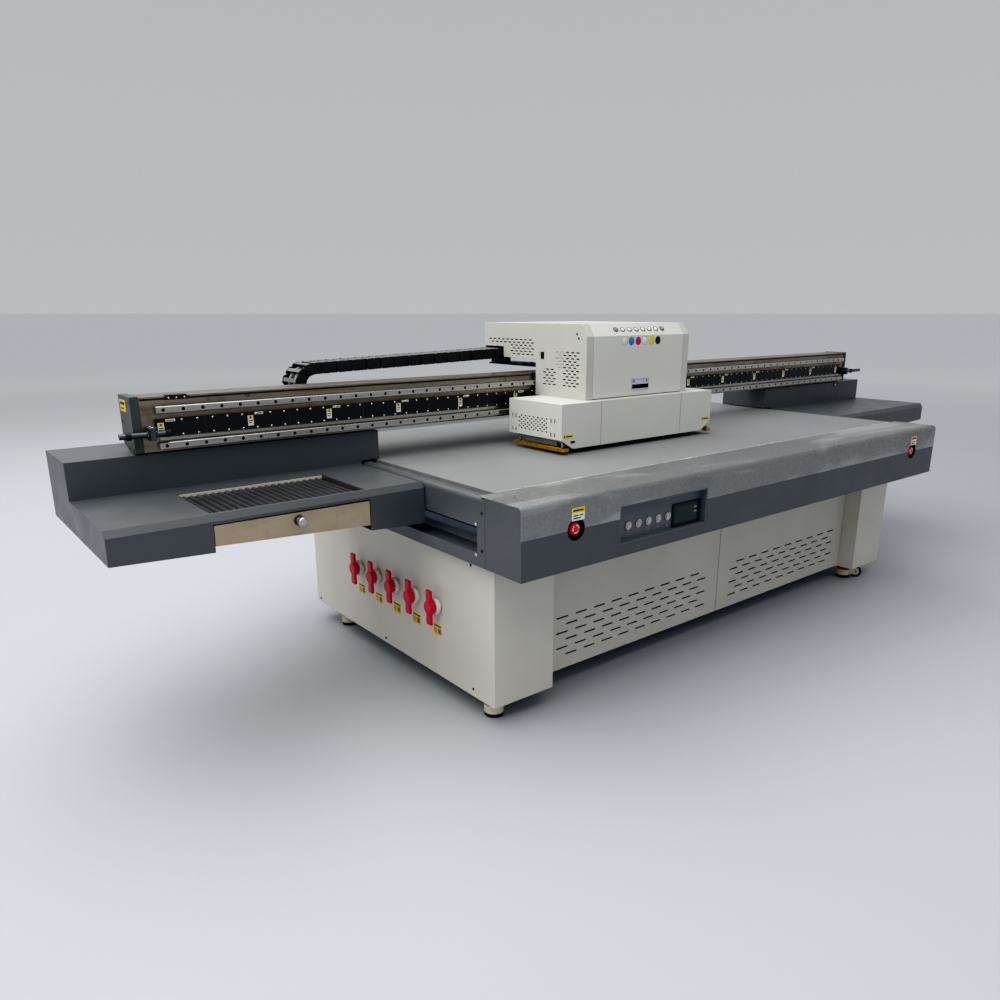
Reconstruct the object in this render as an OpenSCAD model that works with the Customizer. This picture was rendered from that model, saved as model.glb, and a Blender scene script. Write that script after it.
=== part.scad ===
// Flatbed UV printer: a vacuum table on a cabinet, a gantry beam on two side wings that
// travels along the table, and a printing carriage that travels along the beam.
// X runs along the beam, Y from the front apron to the back, Z up from the floor.
// The origin is on the floor, under the middle of the table.

/* [Table] */
// Width of the table over its side covers
table_w = 2620; // [2600:10:2700]
// Depth of the table, front apron to rear cover
table_d = 1640; // [1640:10:1700]
// Height of the printing surface above the floor
table_h = 794; // [790:1:796]
// Height of the dark apron round the table
apron_h = 226; // [220:2:230]
// Height of the metal edge plate's front face
edge_h = 100; // [96:1:104]
// Depth of the metal edge plate on top of the table
edge_d = 200; // [190:5:210]
// Width of the vacuum platen
platen_w = 2500; // [2480:10:2500]
// Thickness of the vacuum platen
platen_t = 18; // [16:1:18]

/* [Cabinet] */
// Width of the cabinet under the table
cabinet_w = 2540; // [2530:10:2550]
// Gap between the floor and the cabinet
cabinet_gap = 75; // [74:1:77]
// Width of each front column
column_w = 254; // [240:2:260]
// How far the columns stand behind the apron
column_inset = 177; // [170:1:180]
// How far the doors stand behind the columns
door_inset = 78; // [70:1:80]
// Ventilation slot length
slot_l = 56; // [40:1:60]
// Distance between ventilation slots
slot_pitch = 93; // [90:1:94]
// Rows of ventilation slots in each door
slot_rows = 6; // [2:1:8]

/* [Gantry] */
// Length of each side wing beyond the table
wing_reach = 970.5; // [960.5:1:980.5]
// Height of the wings' platforms
wing_h = 788; // [780:1:788]
// Depth of the low platform in front of the raised box
wing_shelf_d = 417; // [400:1:420]
// Depth of the raised box under the beam
wing_box_d = 277; // [270:1:280]
// Height of the raised box's top
wing_box_h = 904; // [900:1:904]
// Length of the beam
beam_l = 4155; // [4150:1:4160]
// Depth of the beam
beam_d = 120; // [110:2:150]
// Height of the beam
beam_h = 168; // [168]
// Height of the beam's underside above the floor
beam_z = 910; // [908:1:912]
// Distance between rail screws
rail_pitch = 60; // [60:20:120]

/* [Carriage] */
// Width of the wide lower cover
lower_w = 909; // [900:1:909]
// Width of the upper cover
upper_w = 617; // [610:1:620]
// Height of the carriage's top above the floor
carriage_top = 1280; // [1270:1:1290]
// Gap between the platen and the carriage
print_gap = 20; // [20:1:24]
// Number of print heads
head_count = 6; // [2:1:6]

/* [Details] */
// Number of vacuum valves on the left side panel
valve_count = 5; // [3:1:5]
// Number of buttons on the control panel
button_count = 5; // [3:1:5]
// Diameter of the emergency stop heads
estop_d = 40; // [38:1:42]
// Diameter of the caster wheels
wheel_d = 58; // [50:1:58]

/* [Hidden] */
$fn = 64;

// ---- Table levels and faces
sheet = 3;                              // folded sheet metal
seam = 0.1;                             // hairline joint between two sheets
front_y = -table_d / 2;
back_y = table_d / 2;
side_x = table_w / 2;
apron_z = table_h - apron_h;
edge_low_z = table_h - edge_h;
edge_r = 16;                            // rounding of the edge plate's front edge
return_y = front_y + 171;               // back edge of the apron's end returns
platen_front_y = front_y + edge_d + 4;
platen_back_y = 700;
base_x = 1236;
base_front_y = -740;
base_back_y = 800;
base_low_z = apron_z + 4;
base_wall = 12;
deck_z = table_h - platen_t;

// ---- Cabinet faces
cab_x = cabinet_w / 2;
column_y = front_y + column_inset;
door_y = column_y + door_inset;
cab_back_y = 646;
column_inner_x = cab_x - column_w;
post_x = 1210;
post_w = 60;
post_ys = [-510, 22, 580];
frame_low_z = 80;
door_t = 20;
hinge_inset = 4;                        // from the door's edge and face to the hinge axis
pin_r = 3;

// ---- Slot in each side cover, which the gantry legs pass through
channel_z = [611, 695];
channel_y = [-608, 806];

// ---- Gantry
wing_in_x = side_x + 3.5;
wing_out_x = wing_in_x + wing_reach;
wing_back_y = 369;
box_front_y = wing_back_y - wing_box_d;
wing_front_y = box_front_y - wing_shelf_d;
wing_in_low_z = 648;
wing_out_low_z = 692;
box_in_x = 1242;
box_floor_z = table_h + 4;
beam_y = [85, 85 + beam_d];
beam_top_z = beam_z + beam_h;
beam_left_x = -2087;
cap_xs = [[beam_left_x, beam_left_x + 26], [beam_left_x + beam_l - 18, beam_left_x + beam_l]];
rail_zs = [927.5, 1038];
rail_w = 22;
rail_t = 15;
track_z = [956, 1010];
tray_x = [-2008, -1522];
tray_y = [-301, -5];
drawer_x = [-2006, -1518];
knob_x = -1756;
leg_ys = [110, 248];

// ---- Drag chain
chain_y = [290, 410];
chain_t = 42;
chain_top_z = 1172;
chain_sag = 28;                         // drop of the upper run between the carriage and the bend
bend_x = -1378;
bend_r = 86;
bend_top_z = chain_top_z - chain_sag;
chain_low_z = bend_top_z - 2 * bend_r;
chain_end_x = -306;

// ---- Carriage
lower_x = [-659, -659 + lower_w];
mid_x = (lower_x[0] + lower_x[1]) / 2;
upper_x = [mid_x + 22 - upper_w / 2, mid_x + 22 + upper_w / 2];
lower_y = [-281, 36];
upper_y = [-234, 67];
lower_z = [table_h + print_gap, 988];
skirt_z = 850;                          // bottom edge of the lower cover's ends
corner_cut = 60;
arm_z = 1135;
arm_back_y = 417;
slope_y = -199;                         // top edge of the sloping brow
slope_z = 1233;                         // bottom edge of the sloping brow
door_x = [upper_x[0] + 38, upper_x[1] - 38];
latch_x = [-231, -123];
latch_z = [1015, 1061];
flap_axis_z = 1054.5;
hinge_y = slope_y + 0.5;                // axis of the service door's hinge
hinge_z = carriage_top - 1.5;
hinge_pin_r = 1;
lift_xs = [-430, 65];
lift_screw_x = -182.5;
lift_screw_y = 32.5;
lift_screw_r = 6;
head_y = -130;
crash_x = [lower_x[0], lower_x[0] + 30];
crash_y = [-290, 10];
crash_z = [808, 820];
crash_post_x = lower_x[0] + 14;
crash_post_ys = [-270, -18];

// ---- Small parts
valve_ys = [for (i = [0 : valve_count - 1]) 222 - i * 135.75];
valve_z = 342;
button_xs = [for (i = [0 : button_count - 1]) -836 + i * 49];
button_z = 657;
button_r = 9;
panel_x = [-901, -456];
panel_z = [605, 735];
panel_face_y = front_y + 25;
display_x = [-616, -468];
display_z = [612, 693];
estop_xs = [-1093, 1086];
estop_z = 695;
cup_r = 36;
caster_spots = [[-1205, -555], [1100, -555], [-1205, 480], [1100, 480]];
swivel_angles = [30, -50, 30, -50];
wheel_offset = 58;                      // from the swivel axis to the wheel's axle
wheel_z = wheel_d / 2 + 2.5;            // the pads carry the machine, just clear of the wheels

// ---- Shared shapes
module block(x, y, z) {
    translate([x[0], y[0], z[0]]) cube([x[1] - x[0], y[1] - y[0], z[1] - z[0]]);
}

module rod_x(r, x, y, z) {
    translate([x[0], y, z]) rotate([0, 90, 0]) cylinder(r = r, h = x[1] - x[0]);
}

module rod_y(r, x, y, z) {
    translate([x, y[1], z]) rotate([90, 0, 0]) cylinder(r = r, h = y[1] - y[0]);
}

module rod_z(r, x, y, z) {
    translate([x, y, z[0]]) cylinder(r = r, h = z[1] - z[0]);
}

// An outline drawn in X and Z, extruded along Y
module prism_y(points, y) {
    translate([0, y[1], 0]) rotate([90, 0, 0]) linear_extrude(y[1] - y[0]) polygon(points);
}

// An outline drawn in Y and Z, extruded along X
module prism_x(points, x) {
    translate([x[0], 0, 0]) rotate([90, 0, 90]) linear_extrude(x[1] - x[0]) polygon(points);
}

module both_sides() {
    children();
    mirror([1, 0, 0]) children();
}

// Points of an arc, from angle a to angle b
function arc(cx, cy, r, a, b, steps = 6) =
    [for (i = [0 : steps]) let (t = a + (b - a) * i / steps) [cx + r * cos(t), cy + r * sin(t)]];

// ---- Cabinet and table
module main_frame() color("#5a5f63") {
    half = post_w / 2;
    rail_z = [frame_low_z, base_low_z - post_w];
    foot_w = 48;
    both_sides() {
        for (y = post_ys)
            block([post_x - half, post_x + half], [y - half, y + half], [frame_low_z, base_low_z]);
        for (z = rail_z, i = [0, 1])
            block([post_x - half, post_x + half], [post_ys[i] + half, post_ys[i + 1] - half],
                  [z, z + post_w]);
    }
    for (y = [post_ys[0], post_ys[2]], z = rail_z)
        block([-post_x + half, post_x - half], [y - half, y + half], [z, z + post_w]);
    // bearers under the blower and the electrics box
    for (x = [-850, -450, 350, 850])
        block([x - half, x + half], [post_ys[0] + half, post_ys[2] - half],
              [frame_low_z, frame_low_z + post_w]);
    for (spot = caster_spots)
        block([spot[0] - foot_w, spot[0] + foot_w], [spot[1] - foot_w, spot[1] + foot_w],
              [cabinet_gap, frame_low_z]);
    for (spot = [caster_spots[2], caster_spots[3]])
        block([spot[0] - 35, spot[0] + 25], [spot[1] - 40, post_ys[2] - half],
              [frame_low_z, frame_low_z + 6]);
}

module table_base() color("#6c7175") {
    inner_x = base_x - base_wall;
    inner_y = [base_front_y + base_wall, base_back_y - base_wall];
    difference() {
        block([-base_x, base_x], [base_front_y, base_back_y], [base_low_z, deck_z]);
        block([-inner_x, inner_x], inner_y, [base_low_z - 1, deck_z - base_wall]);
    }
    for (x = [-620, 0, 620])
        block([x - 5, x + 5], inner_y, [600, deck_z - base_wall]);
}

module platen() color("#5d6060")
    block([-platen_w / 2, platen_w / 2], [platen_front_y, platen_back_y], [deck_z, table_h]);

module edge_plate() color("#9fa9b2") {
    round_y = front_y + edge_r;
    round_z = table_h - edge_r;
    difference() {
        prism_x(concat([[front_y, edge_low_z]], arc(round_y, round_z, edge_r, 180, 90),
                       [[front_y + edge_d, table_h], [front_y + edge_d, table_h - sheet]],
                       arc(round_y, round_z, edge_r - sheet, 90, 180), [[front_y + sheet, edge_low_z]]),
                [-side_x, side_x]);
        front_cutouts();
    }
}

// Openings in the front for the control panel and the emergency stops
module front_cutouts() {
    block(panel_x, [front_y - 1, front_y + 10], panel_z);
    for (x = estop_xs)
        rod_y(cup_r, x, [front_y - 1, front_y + 10], estop_z);
}

module front_fascia() color("#474e53") {
    difference() {
        block([-side_x, side_x], [front_y, front_y + sheet], [apron_z, edge_low_z]);
        front_cutouts();
    }
    block([-side_x, side_x], [front_y + sheet, column_y - 4], [apron_z, apron_z + sheet]);
    both_sides()
        prism_x(concat([[front_y + sheet, apron_z + sheet]],
                       arc(front_y + edge_r, table_h - edge_r, edge_r - sheet, 180, 90),
                       [[return_y, table_h - sheet], [return_y, apron_z + sheet]]),
                [side_x - sheet, side_x]);
}

// Folded cover beside the table, with a rounded top strip and a long slot
module side_cover() {
    r = 18;
    top_z = table_h - 3;
    strip_x = platen_w / 2 + 24;
    difference() {
        prism_y(concat([[side_x - sheet, apron_z], [side_x, apron_z]],
                       arc(side_x - r, top_z - r, r, 0, 90),
                       [[strip_x, top_z], [strip_x, top_z - sheet]],
                       arc(side_x - r, top_z - r, r - sheet, 90, 0)),
                [return_y + 1, back_y - 5]);
        block([side_x - 10, side_x + 10], channel_y, channel_z);
        // hairline joints: the end pieces are separate from the strips over and under the slot
        for (y = [channel_y[0] - seam, channel_y[1]])
            block([platen_w / 2, side_x + 1], [y, y + seam], [apron_z - 1, table_h]);
    }
    // folded lips along the slot
    block([side_x - 64, side_x - sheet], channel_y, [channel_z[0] - sheet, channel_z[0]]);
    block([side_x - 20, side_x - sheet], channel_y, [channel_z[1], channel_z[1] + sheet]);
}

module side_covers() color("#474e53") {
    top_z = table_h - 3;
    both_sides() side_cover();
    block([-side_x, side_x], [back_y - 4, back_y], [apron_z, top_z]);
    block([-platen_w / 2, platen_w / 2], [platen_back_y + 4, back_y - 4], [top_z - sheet, top_z]);
}

// Side panels and front columns of the cabinet
module cabinet_panels() color("#c4c2b9") {
    difference() {
        block([-cab_x, -cab_x + sheet], [column_y, cab_back_y], [cabinet_gap, apron_z]);
        for (y = valve_ys)
            rod_x(24, [-cab_x - 1, -cab_x + 10], y, valve_z);
    }
    block([cab_x - sheet, cab_x], [column_y, cab_back_y], [cabinet_gap, apron_z]);
    both_sides() {
        block([column_inner_x, cab_x - sheet], [column_y, column_y + sheet], [cabinet_gap, apron_z]);
        block([column_inner_x, column_inner_x + sheet], [column_y + sheet, door_y + door_t + 2],
              [cabinet_gap, apron_z]);
        hinge_eye(cabinet_gap);
        hinge_eye(apron_z - 3.5);
    }
}

// Eye on the column for one hinge pin of a cabinet door
module hinge_eye(z) {
    axis_x = column_inner_x - 2 - hinge_inset;
    axis_y = door_y + hinge_inset;
    difference() {
        block([axis_x - 6, column_inner_x + 1], [axis_y - 6, axis_y + 6], [z, z + 3.5]);
        rod_z(pin_r + 0.1, axis_x, axis_y, [z - 1, z + 5]);
    }
}

module rear_panel() color("#c4c2b9") {
    difference() {
        block([-cab_x + sheet, cab_x - sheet], [cab_back_y - sheet, cab_back_y], [cabinet_gap, apron_z]);
        for (i = [0 : 7])
            block([-900, -640], [cab_back_y - 10, cab_back_y + 1], [250 + i * 26, 258 + i * 26]);
        rod_y(44, 600, [cab_back_y - 10, cab_back_y + 1], 300);
        block([872, 928], [cab_back_y - 10, cab_back_y + 1], [280, 330]);
    }
    // hose spigot for the air extraction
    difference() {
        rod_y(50, 600, [cab_back_y, cab_back_y + 70], 300);
        rod_y(44, 600, [cab_back_y - 10, cab_back_y + 80], 300);
    }
    // mains inlet, with its socket
    difference() {
        block([860, 940], [cab_back_y, cab_back_y + 12], [268, 342]);
        block([872, 928], [cab_back_y - 1, cab_back_y + 20], [280, 330]);
    }
    block([872, 928], [cab_back_y - 40, cab_back_y - 20], [280, 330]);
    for (x = [888, 900, 912])
        block([x - 2, x + 2], [cab_back_y - 20, cab_back_y], [300, 308]);
}

// One louvred cabinet door, drawn for the left side
module cabinet_door() {
    x0 = -column_inner_x + 2;
    x1 = -2;
    z0 = cabinet_gap + 5;
    z1 = apron_z - 5;
    difference() {
        block([x0, x1], [door_y, door_y + door_t], [z0, z1]);
        block([x0 + 2, x1 - 2], [door_y + 2, door_y + door_t + 1], [z0 + 2, z1 - 2]);
        for (row = [0 : slot_rows - 1], i = [0 : 8])
            translate([-902 + (row % 2) * slot_pitch / 2 + i * slot_pitch, 0, 280 - row * 29.4])
                block([-slot_l / 2, slot_l / 2], [door_y - 1, door_y + 3], [-3, 3]);
    }
    // hinge pins, above and below the outer edge
    rod_z(pin_r, x0 + hinge_inset, door_y + hinge_inset, [z1 - 2, z1 + 4.5]);
    rod_z(pin_r, x0 + hinge_inset, door_y + hinge_inset, [z0 - 4.5, z0 + 2]);
}

module door_left() color("#bdbbb2") cabinet_door();

module door_right() color("#bdbbb2") mirror([1, 0, 0]) cabinet_door();

// Guide rails and magnet tracks of the gantry, on both sides of the base
module y_rails() both_sides() {
    color("silver") block([base_x, base_x + 18], [-700, base_back_y - 5], [641, 665]);
    color("#222426") block([base_x, base_x + 6], [-700, base_back_y - 5], [705, 745]);
}

// ---- Inside the cabinet
module vacuum_blower() color("#5b7f92") {
    rod_y(150, -650, [-60, 60], 310);
    rod_y(90, -650, [60, 280], 310);
    block([-740, -560], [-50, 260], [140, 180]);
    block([-870, -830], [-50, 260], [140, 152]);
    block([-830, -740], [-50, 260], [140, 146]);
    block([-560, -430], [-50, 260], [140, 146]);
    rod_z(36, -740, 0, [300, 470]);
    rod_x(36, [-830, -740], 0, 200);
}

// Pipework from the blower to each zone of the platen, with a ball valve on every branch
module suction_pipes() color("#e9e7de") {
    pipe_x = -1150;
    header_z = 230;
    header_y = [valve_ys[valve_count - 1] - 40, valve_ys[0] + 40];
    rod_y(26, pipe_x, header_y, header_z);
    for (y = valve_ys) {
        rod_z(18, pipe_x, y, [header_z, deck_z - 30]);
        rod_x(20, [-1264, pipe_x], y, valve_z);
        rod_x(23, [-1280, -1264], y, valve_z);
        rod_x(31, [-1290, -1280], y, valve_z);
        rod_x(9, [-1300, -1290], y, valve_z);
    }
    rod_x(26, [pipe_x, -860], 0, 200);
    rod_z(26, pipe_x, 0, [200, header_z]);
    rod_x(36, [-860, -830], 0, 200);
}

// Lever on the front of a valve: a round hub and two flat wings
module valve_handle(i) {
    y = valve_ys[i];
    difference() {
        union() {
            rod_x(24, [-1312, -1293], y, valve_z);
            block([-1309, -1301], [y - 14, y + 14], [valve_z - 63, valve_z + 63]);
        }
        rod_x(9.3, [-1301, -1292], y, valve_z);
    }
}

module valve_handle_1() color("#c8142b") valve_handle(0);
module valve_handle_2() color("#c8142b") valve_handle(1);
module valve_handle_3() color("#c8142b") valve_handle(2);
module valve_handle_4() color("#c8142b") valve_handle(3);
module valve_handle_5() color("#c8142b") valve_handle(4);

module electrics_box() color("#9a9c98") {
    box_z = [140, 470];
    difference() {
        block([320, 880], [-320, 60], box_z);
        block([324, 876], [-316, 56], [box_z[0] + 4, box_z[1] - 4]);
        for (i = [0 : 9])
            block([360 + i * 50, 390 + i * 50], [-321, -315], [400, 406]);
    }
    block([340, 560], [-200, -80], [box_z[0] + 4, 300]);
    block([600, 860], [-260, 0], [box_z[0] + 4, 240]);
}

// ---- Front controls
// Sunken panel for the buttons, and a cup round each emergency stop
module control_panel() color("#3a4045") {
    rim = 6;
    for (x = estop_xs)
        estop_cup(x);
    difference() {
        block(panel_x, [front_y + 1, panel_face_y + 4], panel_z);
        block([panel_x[0] + rim, panel_x[1] - rim], [front_y, panel_face_y],
              [panel_z[0] + rim, panel_z[1] - rim]);
        for (x = button_xs)
            rod_y(11.2, x, [panel_face_y - 1, panel_face_y + 5], button_z);
        block([display_x[0] + 12, display_x[1] - 12], [panel_face_y - 1, panel_face_y + 5],
              [display_z[0] + 12, display_z[1] - 12]);
    }
}

module panel_display() color("#10201c") {
    block(display_x, [panel_face_y - 4, panel_face_y], display_z);
    block([display_x[0] + 12, display_x[1] - 12], [panel_face_y, panel_face_y + 24],
          [display_z[0] + 12, display_z[1] - 12]);
}

module switch_bodies() color("#b9bcbd")
    for (x = button_xs)
        difference() {
            union() {
                rod_y(14, x, [panel_face_y - 4, panel_face_y], button_z);
                rod_y(11.2, x, [panel_face_y, panel_face_y + 30], button_z);
            }
            rod_y(button_r + 0.3, x, [panel_face_y - 5, panel_face_y + 25], button_z);
        }

module panel_button(i) color("#d8d9d8")
    rod_y(button_r, button_xs[i], [panel_face_y - 6, panel_face_y + 15], button_z);

module panel_button_1() panel_button(0);
module panel_button_2() panel_button(1);
module panel_button_3() panel_button(2);
module panel_button_4() panel_button(3);
module panel_button_5() panel_button(4);

module estop_cup(x) difference() {
    union() {
        rod_y(cup_r, x, [front_y + 0.5, front_y + 45], estop_z);
        block([x - 16, x + 16], [front_y + 44, front_y + 76], [estop_z - 16, estop_z + 16]);
    }
    rod_y(cup_r - 2, x, [front_y, front_y + 41], estop_z);
    rod_y(8.4, x, [front_y + 40, front_y + 58], estop_z);
}

// Mushroom head with a domed face, on its stem
module estop(x) color("#d3202a") {
    r = estop_d / 2;
    translate([x, front_y + 2, estop_z]) rotate([-90, 0, 0]) rotate_extrude()
        polygon(concat([[0, 0], [r - 5, 1]], arc(r - 5, 6, 5, -90, 0), [[r, 12], [8, 16], [8, 50], [0, 50]]));
}

module estop_left() estop(estop_xs[0]);
module estop_right() estop(estop_xs[1]);

// ---- Levelling casters
module levelling_feet() {
    for (spot = caster_spots) {
        color("#26282a") rod_z(32, spot[0], spot[1], [0, 10]);
        color("#a9abac") rod_z(7, spot[0], spot[1], [10, 71]);
        color("#b4232d") rod_z(29, spot[0], spot[1], [46, 57]);
        color("#a9abac") block([spot[0] - 45, spot[0] + 45], [spot[1] - 45, spot[1] + 45], [70, cabinet_gap]);
    }
}

// Ivory housing that swivels round the foot's spindle and holds the wheel
module caster_fork(i) color("#dcd8c3") at_caster(i) difference() {
    union() {
        rod_z(34, 0, 0, [14, 43]);
        rod_z(30, 0, 0, [60, 69.5]);
        block([31, 41], [-17, 17], [24, 69.5]);
        block([20, 40], [-17, 17], [60, 69.5]);
        for (y = [-17, 12])
            block([31, 72], [y, y + 5], [18, 48]);
    }
    rod_z(7.4, 0, 0, [0, 80]);
    rod_y(wheel_d / 2 + 3, wheel_offset, [-11.7, 11.7], wheel_z);
    rod_y(4.1, wheel_offset, [-18, 18], wheel_z);
}

// Wheel with its axle
module caster_wheel(i) color("#1c1d1f") at_caster(i) {
    rod_y(wheel_d / 2, wheel_offset, [-11, 11], wheel_z);
    rod_y(4, wheel_offset, [-18.5, 18.5], wheel_z);
}

module at_caster(i)
    translate([caster_spots[i][0], caster_spots[i][1], 0]) rotate([0, 0, swivel_angles[i]]) children();

module caster_fork_1() caster_fork(0);
module caster_fork_2() caster_fork(1);
module caster_fork_3() caster_fork(2);
module caster_fork_4() caster_fork(3);
module caster_wheel_1() caster_wheel(0);
module caster_wheel_2() caster_wheel(1);
module caster_wheel_3() caster_wheel(2);
module caster_wheel_4() caster_wheel(3);

// ---- Gantry
module beam() color("#8d8880") difference() {
    block([cap_xs[0][1], cap_xs[1][0]], beam_y, [beam_z, beam_top_z]);
    block([cap_xs[0][0], cap_xs[1][1]], [beam_y[0] + 10, beam_y[1] - 10], [beam_z + 10, beam_top_z - 10]);
}

module beam_end_caps() color("#4a5156")
    for (cap_x = cap_xs)
        prism_x([[beam_y[0] - 4, beam_z], [beam_y[1] - 60, beam_z], [beam_y[1] + 4, beam_z + 22],
                 [beam_y[1] + 4, beam_top_z + 3], [beam_y[0] - 4, beam_top_z + 3]], cap_x);

module x_rails() color("#c7c9cb") {
    rail_x = [-2017, 2027];
    holes = floor((rail_x[1] - rail_x[0] - 42) / rail_pitch);
    for (z = rail_zs)
        difference() {
            prism_x([[beam_y[0] - rail_t, z - rail_w / 2 + 2], [beam_y[0] - rail_t + 2, z - rail_w / 2],
                     [beam_y[0] - 9, z - rail_w / 2], [beam_y[0] - 7, z - rail_w / 2 + 3],
                     [beam_y[0], z - rail_w / 2 + 3], [beam_y[0], z + rail_w / 2 - 3],
                     [beam_y[0] - 7, z + rail_w / 2 - 3], [beam_y[0] - 9, z + rail_w / 2],
                     [beam_y[0] - rail_t + 2, z + rail_w / 2], [beam_y[0] - rail_t, z + rail_w / 2 - 2]],
                    rail_x);
            for (i = [0 : holes])
                rod_y(5.5, rail_x[0] + 21 + i * rail_pitch, [beam_y[0] - rail_t - 1, beam_y[0] - 8], z);
        }
}

module magnet_track() color("#1d1f21")
    block([-2022, 1990], [beam_y[0] - 10, beam_y[0]], track_z);

// Shock absorbers that stop the carriage at both ends of the beam
module end_stops() color("#2b2e30") {
    stop_y = 62;
    stop_z = 968;
    block([-2047, -2031], [stop_y - 16, beam_y[0]], [stop_z - 18, stop_z + 17]);
    block([2031, 2047], [stop_y - 16, beam_y[0]], [stop_z - 18, stop_z + 17]);
    rod_x(9, [-2132, -2000], stop_y, stop_z);
    rod_x(9, [2012, 2213], stop_y, stop_z);
    rod_x(12, [-2000, -1984], stop_y, stop_z);
    rod_x(12, [1996, 2012], stop_y, stop_z);
}

// Underside height of a wing at distance x from the middle
function wing_low_z(x) =
    wing_in_low_z + (wing_out_low_z - wing_in_low_z) * (x - wing_in_x) / wing_reach;

// Front outline of a wing, inset by t, with its two inner corners rounded
function wing_outline(t) = let (r = 16 - t, x0 = wing_in_x + t, x1 = wing_out_x - t) concat(
    arc(x0 + r, wing_low_z(x0) + t + r, r, 270, 180, 4),
    arc(x0 + r, wing_h - t - r, r, 180, 90, 4),
    [[x1, wing_h - t], [x1, wing_low_z(x1) + t]]);

module wing_shell(box_out_x) {
    chamfer = [14, 20];
    difference() {
        union() {
            difference() {
                prism_y(wing_outline(0), [wing_front_y, wing_back_y]);
                prism_x([[wing_front_y - 1, wing_h - chamfer[1]], [wing_front_y, wing_h - chamfer[1]],
                         [wing_front_y + chamfer[0], wing_h], [wing_front_y + chamfer[0], wing_h + 1],
                         [wing_front_y - 1, wing_h + 1]], [wing_in_x - 1, wing_out_x + 1]);
            }
            block([box_in_x, box_out_x], [box_front_y, wing_back_y], [box_floor_z, wing_box_h]);
            block([wing_in_x, box_out_x], [box_front_y, wing_back_y], [wing_h - 20, box_floor_z + 1]);
        }
        difference() {
            prism_y(wing_outline(sheet), [wing_front_y + sheet, wing_back_y - sheet]);
            prism_x([[wing_front_y - 1, wing_h - chamfer[1] - 2],
                     [wing_front_y + sheet, wing_h - chamfer[1] - 2],
                     [wing_front_y + chamfer[0] + 1, wing_h - sheet],
                     [wing_front_y + chamfer[0] + 1, wing_h + 1],
                     [wing_front_y - 1, wing_h + 1]], [wing_in_x - 1, wing_out_x + 1]);
        }
        block([box_in_x + sheet, box_out_x - sheet], [box_front_y + sheet, wing_back_y - sheet],
              [box_floor_z + sheet, wing_box_h - sheet]);
        block([wing_in_x + sheet, box_out_x - sheet], [box_front_y + sheet, wing_back_y - sheet],
              [wing_h - 30, box_floor_z + 10]);
        // clearance for the legs, at the inner end and under the beam
        block([wing_in_x - 1, wing_in_x + sheet + 14], [100, 270], [wing_in_low_z + 4, 694]);
        block([1326, 2054], [104, 266], [wing_box_h - 10, wing_box_h + 1]);
    }
}

module left_wing_cover() color("#4b5257") difference() {
    mirror([1, 0, 0]) wing_shell(wing_out_x);
    block(tray_x, tray_y, [wing_h - 10, wing_h + 1]);
    block([drawer_x[0] - 2, drawer_x[1] + 2], [wing_front_y - 1, 20], [600, 759]);
}

module right_wing_cover() color("#4b5257") wing_shell(2271);

// Welded ribs that carry the beam and run on the table's side rails
module gantry_legs() color("#63686c") both_sides() {
    rib = [[1282, 656], [1345, 656], [2040, 690], [2040, beam_z - 12], [1340, beam_z - 12],
           [1340, 690], [1282, 690]];
    for (y = leg_ys)
        prism_y(rib, [y, y + 12]);
    block([1340, 2040], [leg_ys[0], leg_ys[1] + 12], [beam_z - 12, beam_z]);
    block([1272, 1282], [40, 260], [618, 750]);
    block([base_x + 10, 1272], [60, 240], [707, 743]);
    for (y = [[40, 130], [170, 260]])
        difference() {
            block([base_x + 6, 1272], y, [628, 678]);
            block([base_x, base_x + 18.3], [y[0] - 1, y[1] + 1], [640.7, 665.3]);
        }
}

// Ribbed mat in its shallow pan, set in the left wing's opening
module catch_mat() {
    pitch = 22;
    count = floor((tray_x[1] - tray_x[0] - 12) / pitch);
    color("#8f9294") difference() {
        union() {
            block([tray_x[0] + 2, tray_x[1] - 2], [tray_y[0] + 2, tray_y[1] - 2], [763, wing_h - 2]);
            block([tray_x[0] - 9, tray_x[1] + 9], [tray_y[0] - 9, tray_y[1] + 9],
                  [wing_h - 2 * sheet, wing_h - sheet]);
        }
        block([tray_x[0] + 4, tray_x[1] - 4], [tray_y[0] + 4, tray_y[1] - 4], [765, wing_h]);
    }
    ridge_x = tray_x[0] + 8;
    color("#3e3f41") prism_y(
        concat([[tray_x[0] + 5, 765]],
               [for (i = [0 : 2 * count - 1]) [ridge_x + i * pitch / 2, i % 2 == 0 ? 768 : 775]],
               [[ridge_x + count * pitch, 768], [ridge_x + count * pitch, 765]]),
        [tray_y[0] + 5, tray_y[1] - 5]);
}

// Drag chain: upper run, half-round bend and lower run
module cable_chain() color("#191a1c") {
    bend_z = bend_top_z - bend_r;
    prism_y([[bend_x, bend_top_z - chain_t], [upper_x[0] + 1, chain_top_z - chain_t],
             [upper_x[0] + 1, chain_top_z], [bend_x, bend_top_z]], chain_y);
    block([bend_x, chain_end_x], chain_y, [chain_low_z, chain_low_z + chain_t]);
    difference() {
        rod_y(bend_r, bend_x, chain_y, bend_z);
        rod_y(bend_r - chain_t, bend_x, [chain_y[0] - 1, chain_y[1] + 1], bend_z);
        block([bend_x, bend_x + bend_r + 1], [chain_y[0] - 1, chain_y[1] + 1],
              [chain_low_z - 1, bend_top_z + 1]);
    }
}

module chain_tray() color("#3b4044") {
    tray_z = chain_low_z - 6;
    run_x = [-2040, -240];
    block(run_x, [beam_y[1], chain_y[1] + 8], [tray_z, tray_z + sheet]);
    block(run_x, [beam_y[1], beam_y[1] + sheet], [tray_z + sheet, tray_z + 40]);
    block(run_x, [chain_y[1] + 5, chain_y[1] + 8], [tray_z + sheet, tray_z + 26]);
    block([chain_end_x + 2, chain_end_x + 40], chain_y, [tray_z + sheet, tray_z + 46]);
}

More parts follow.
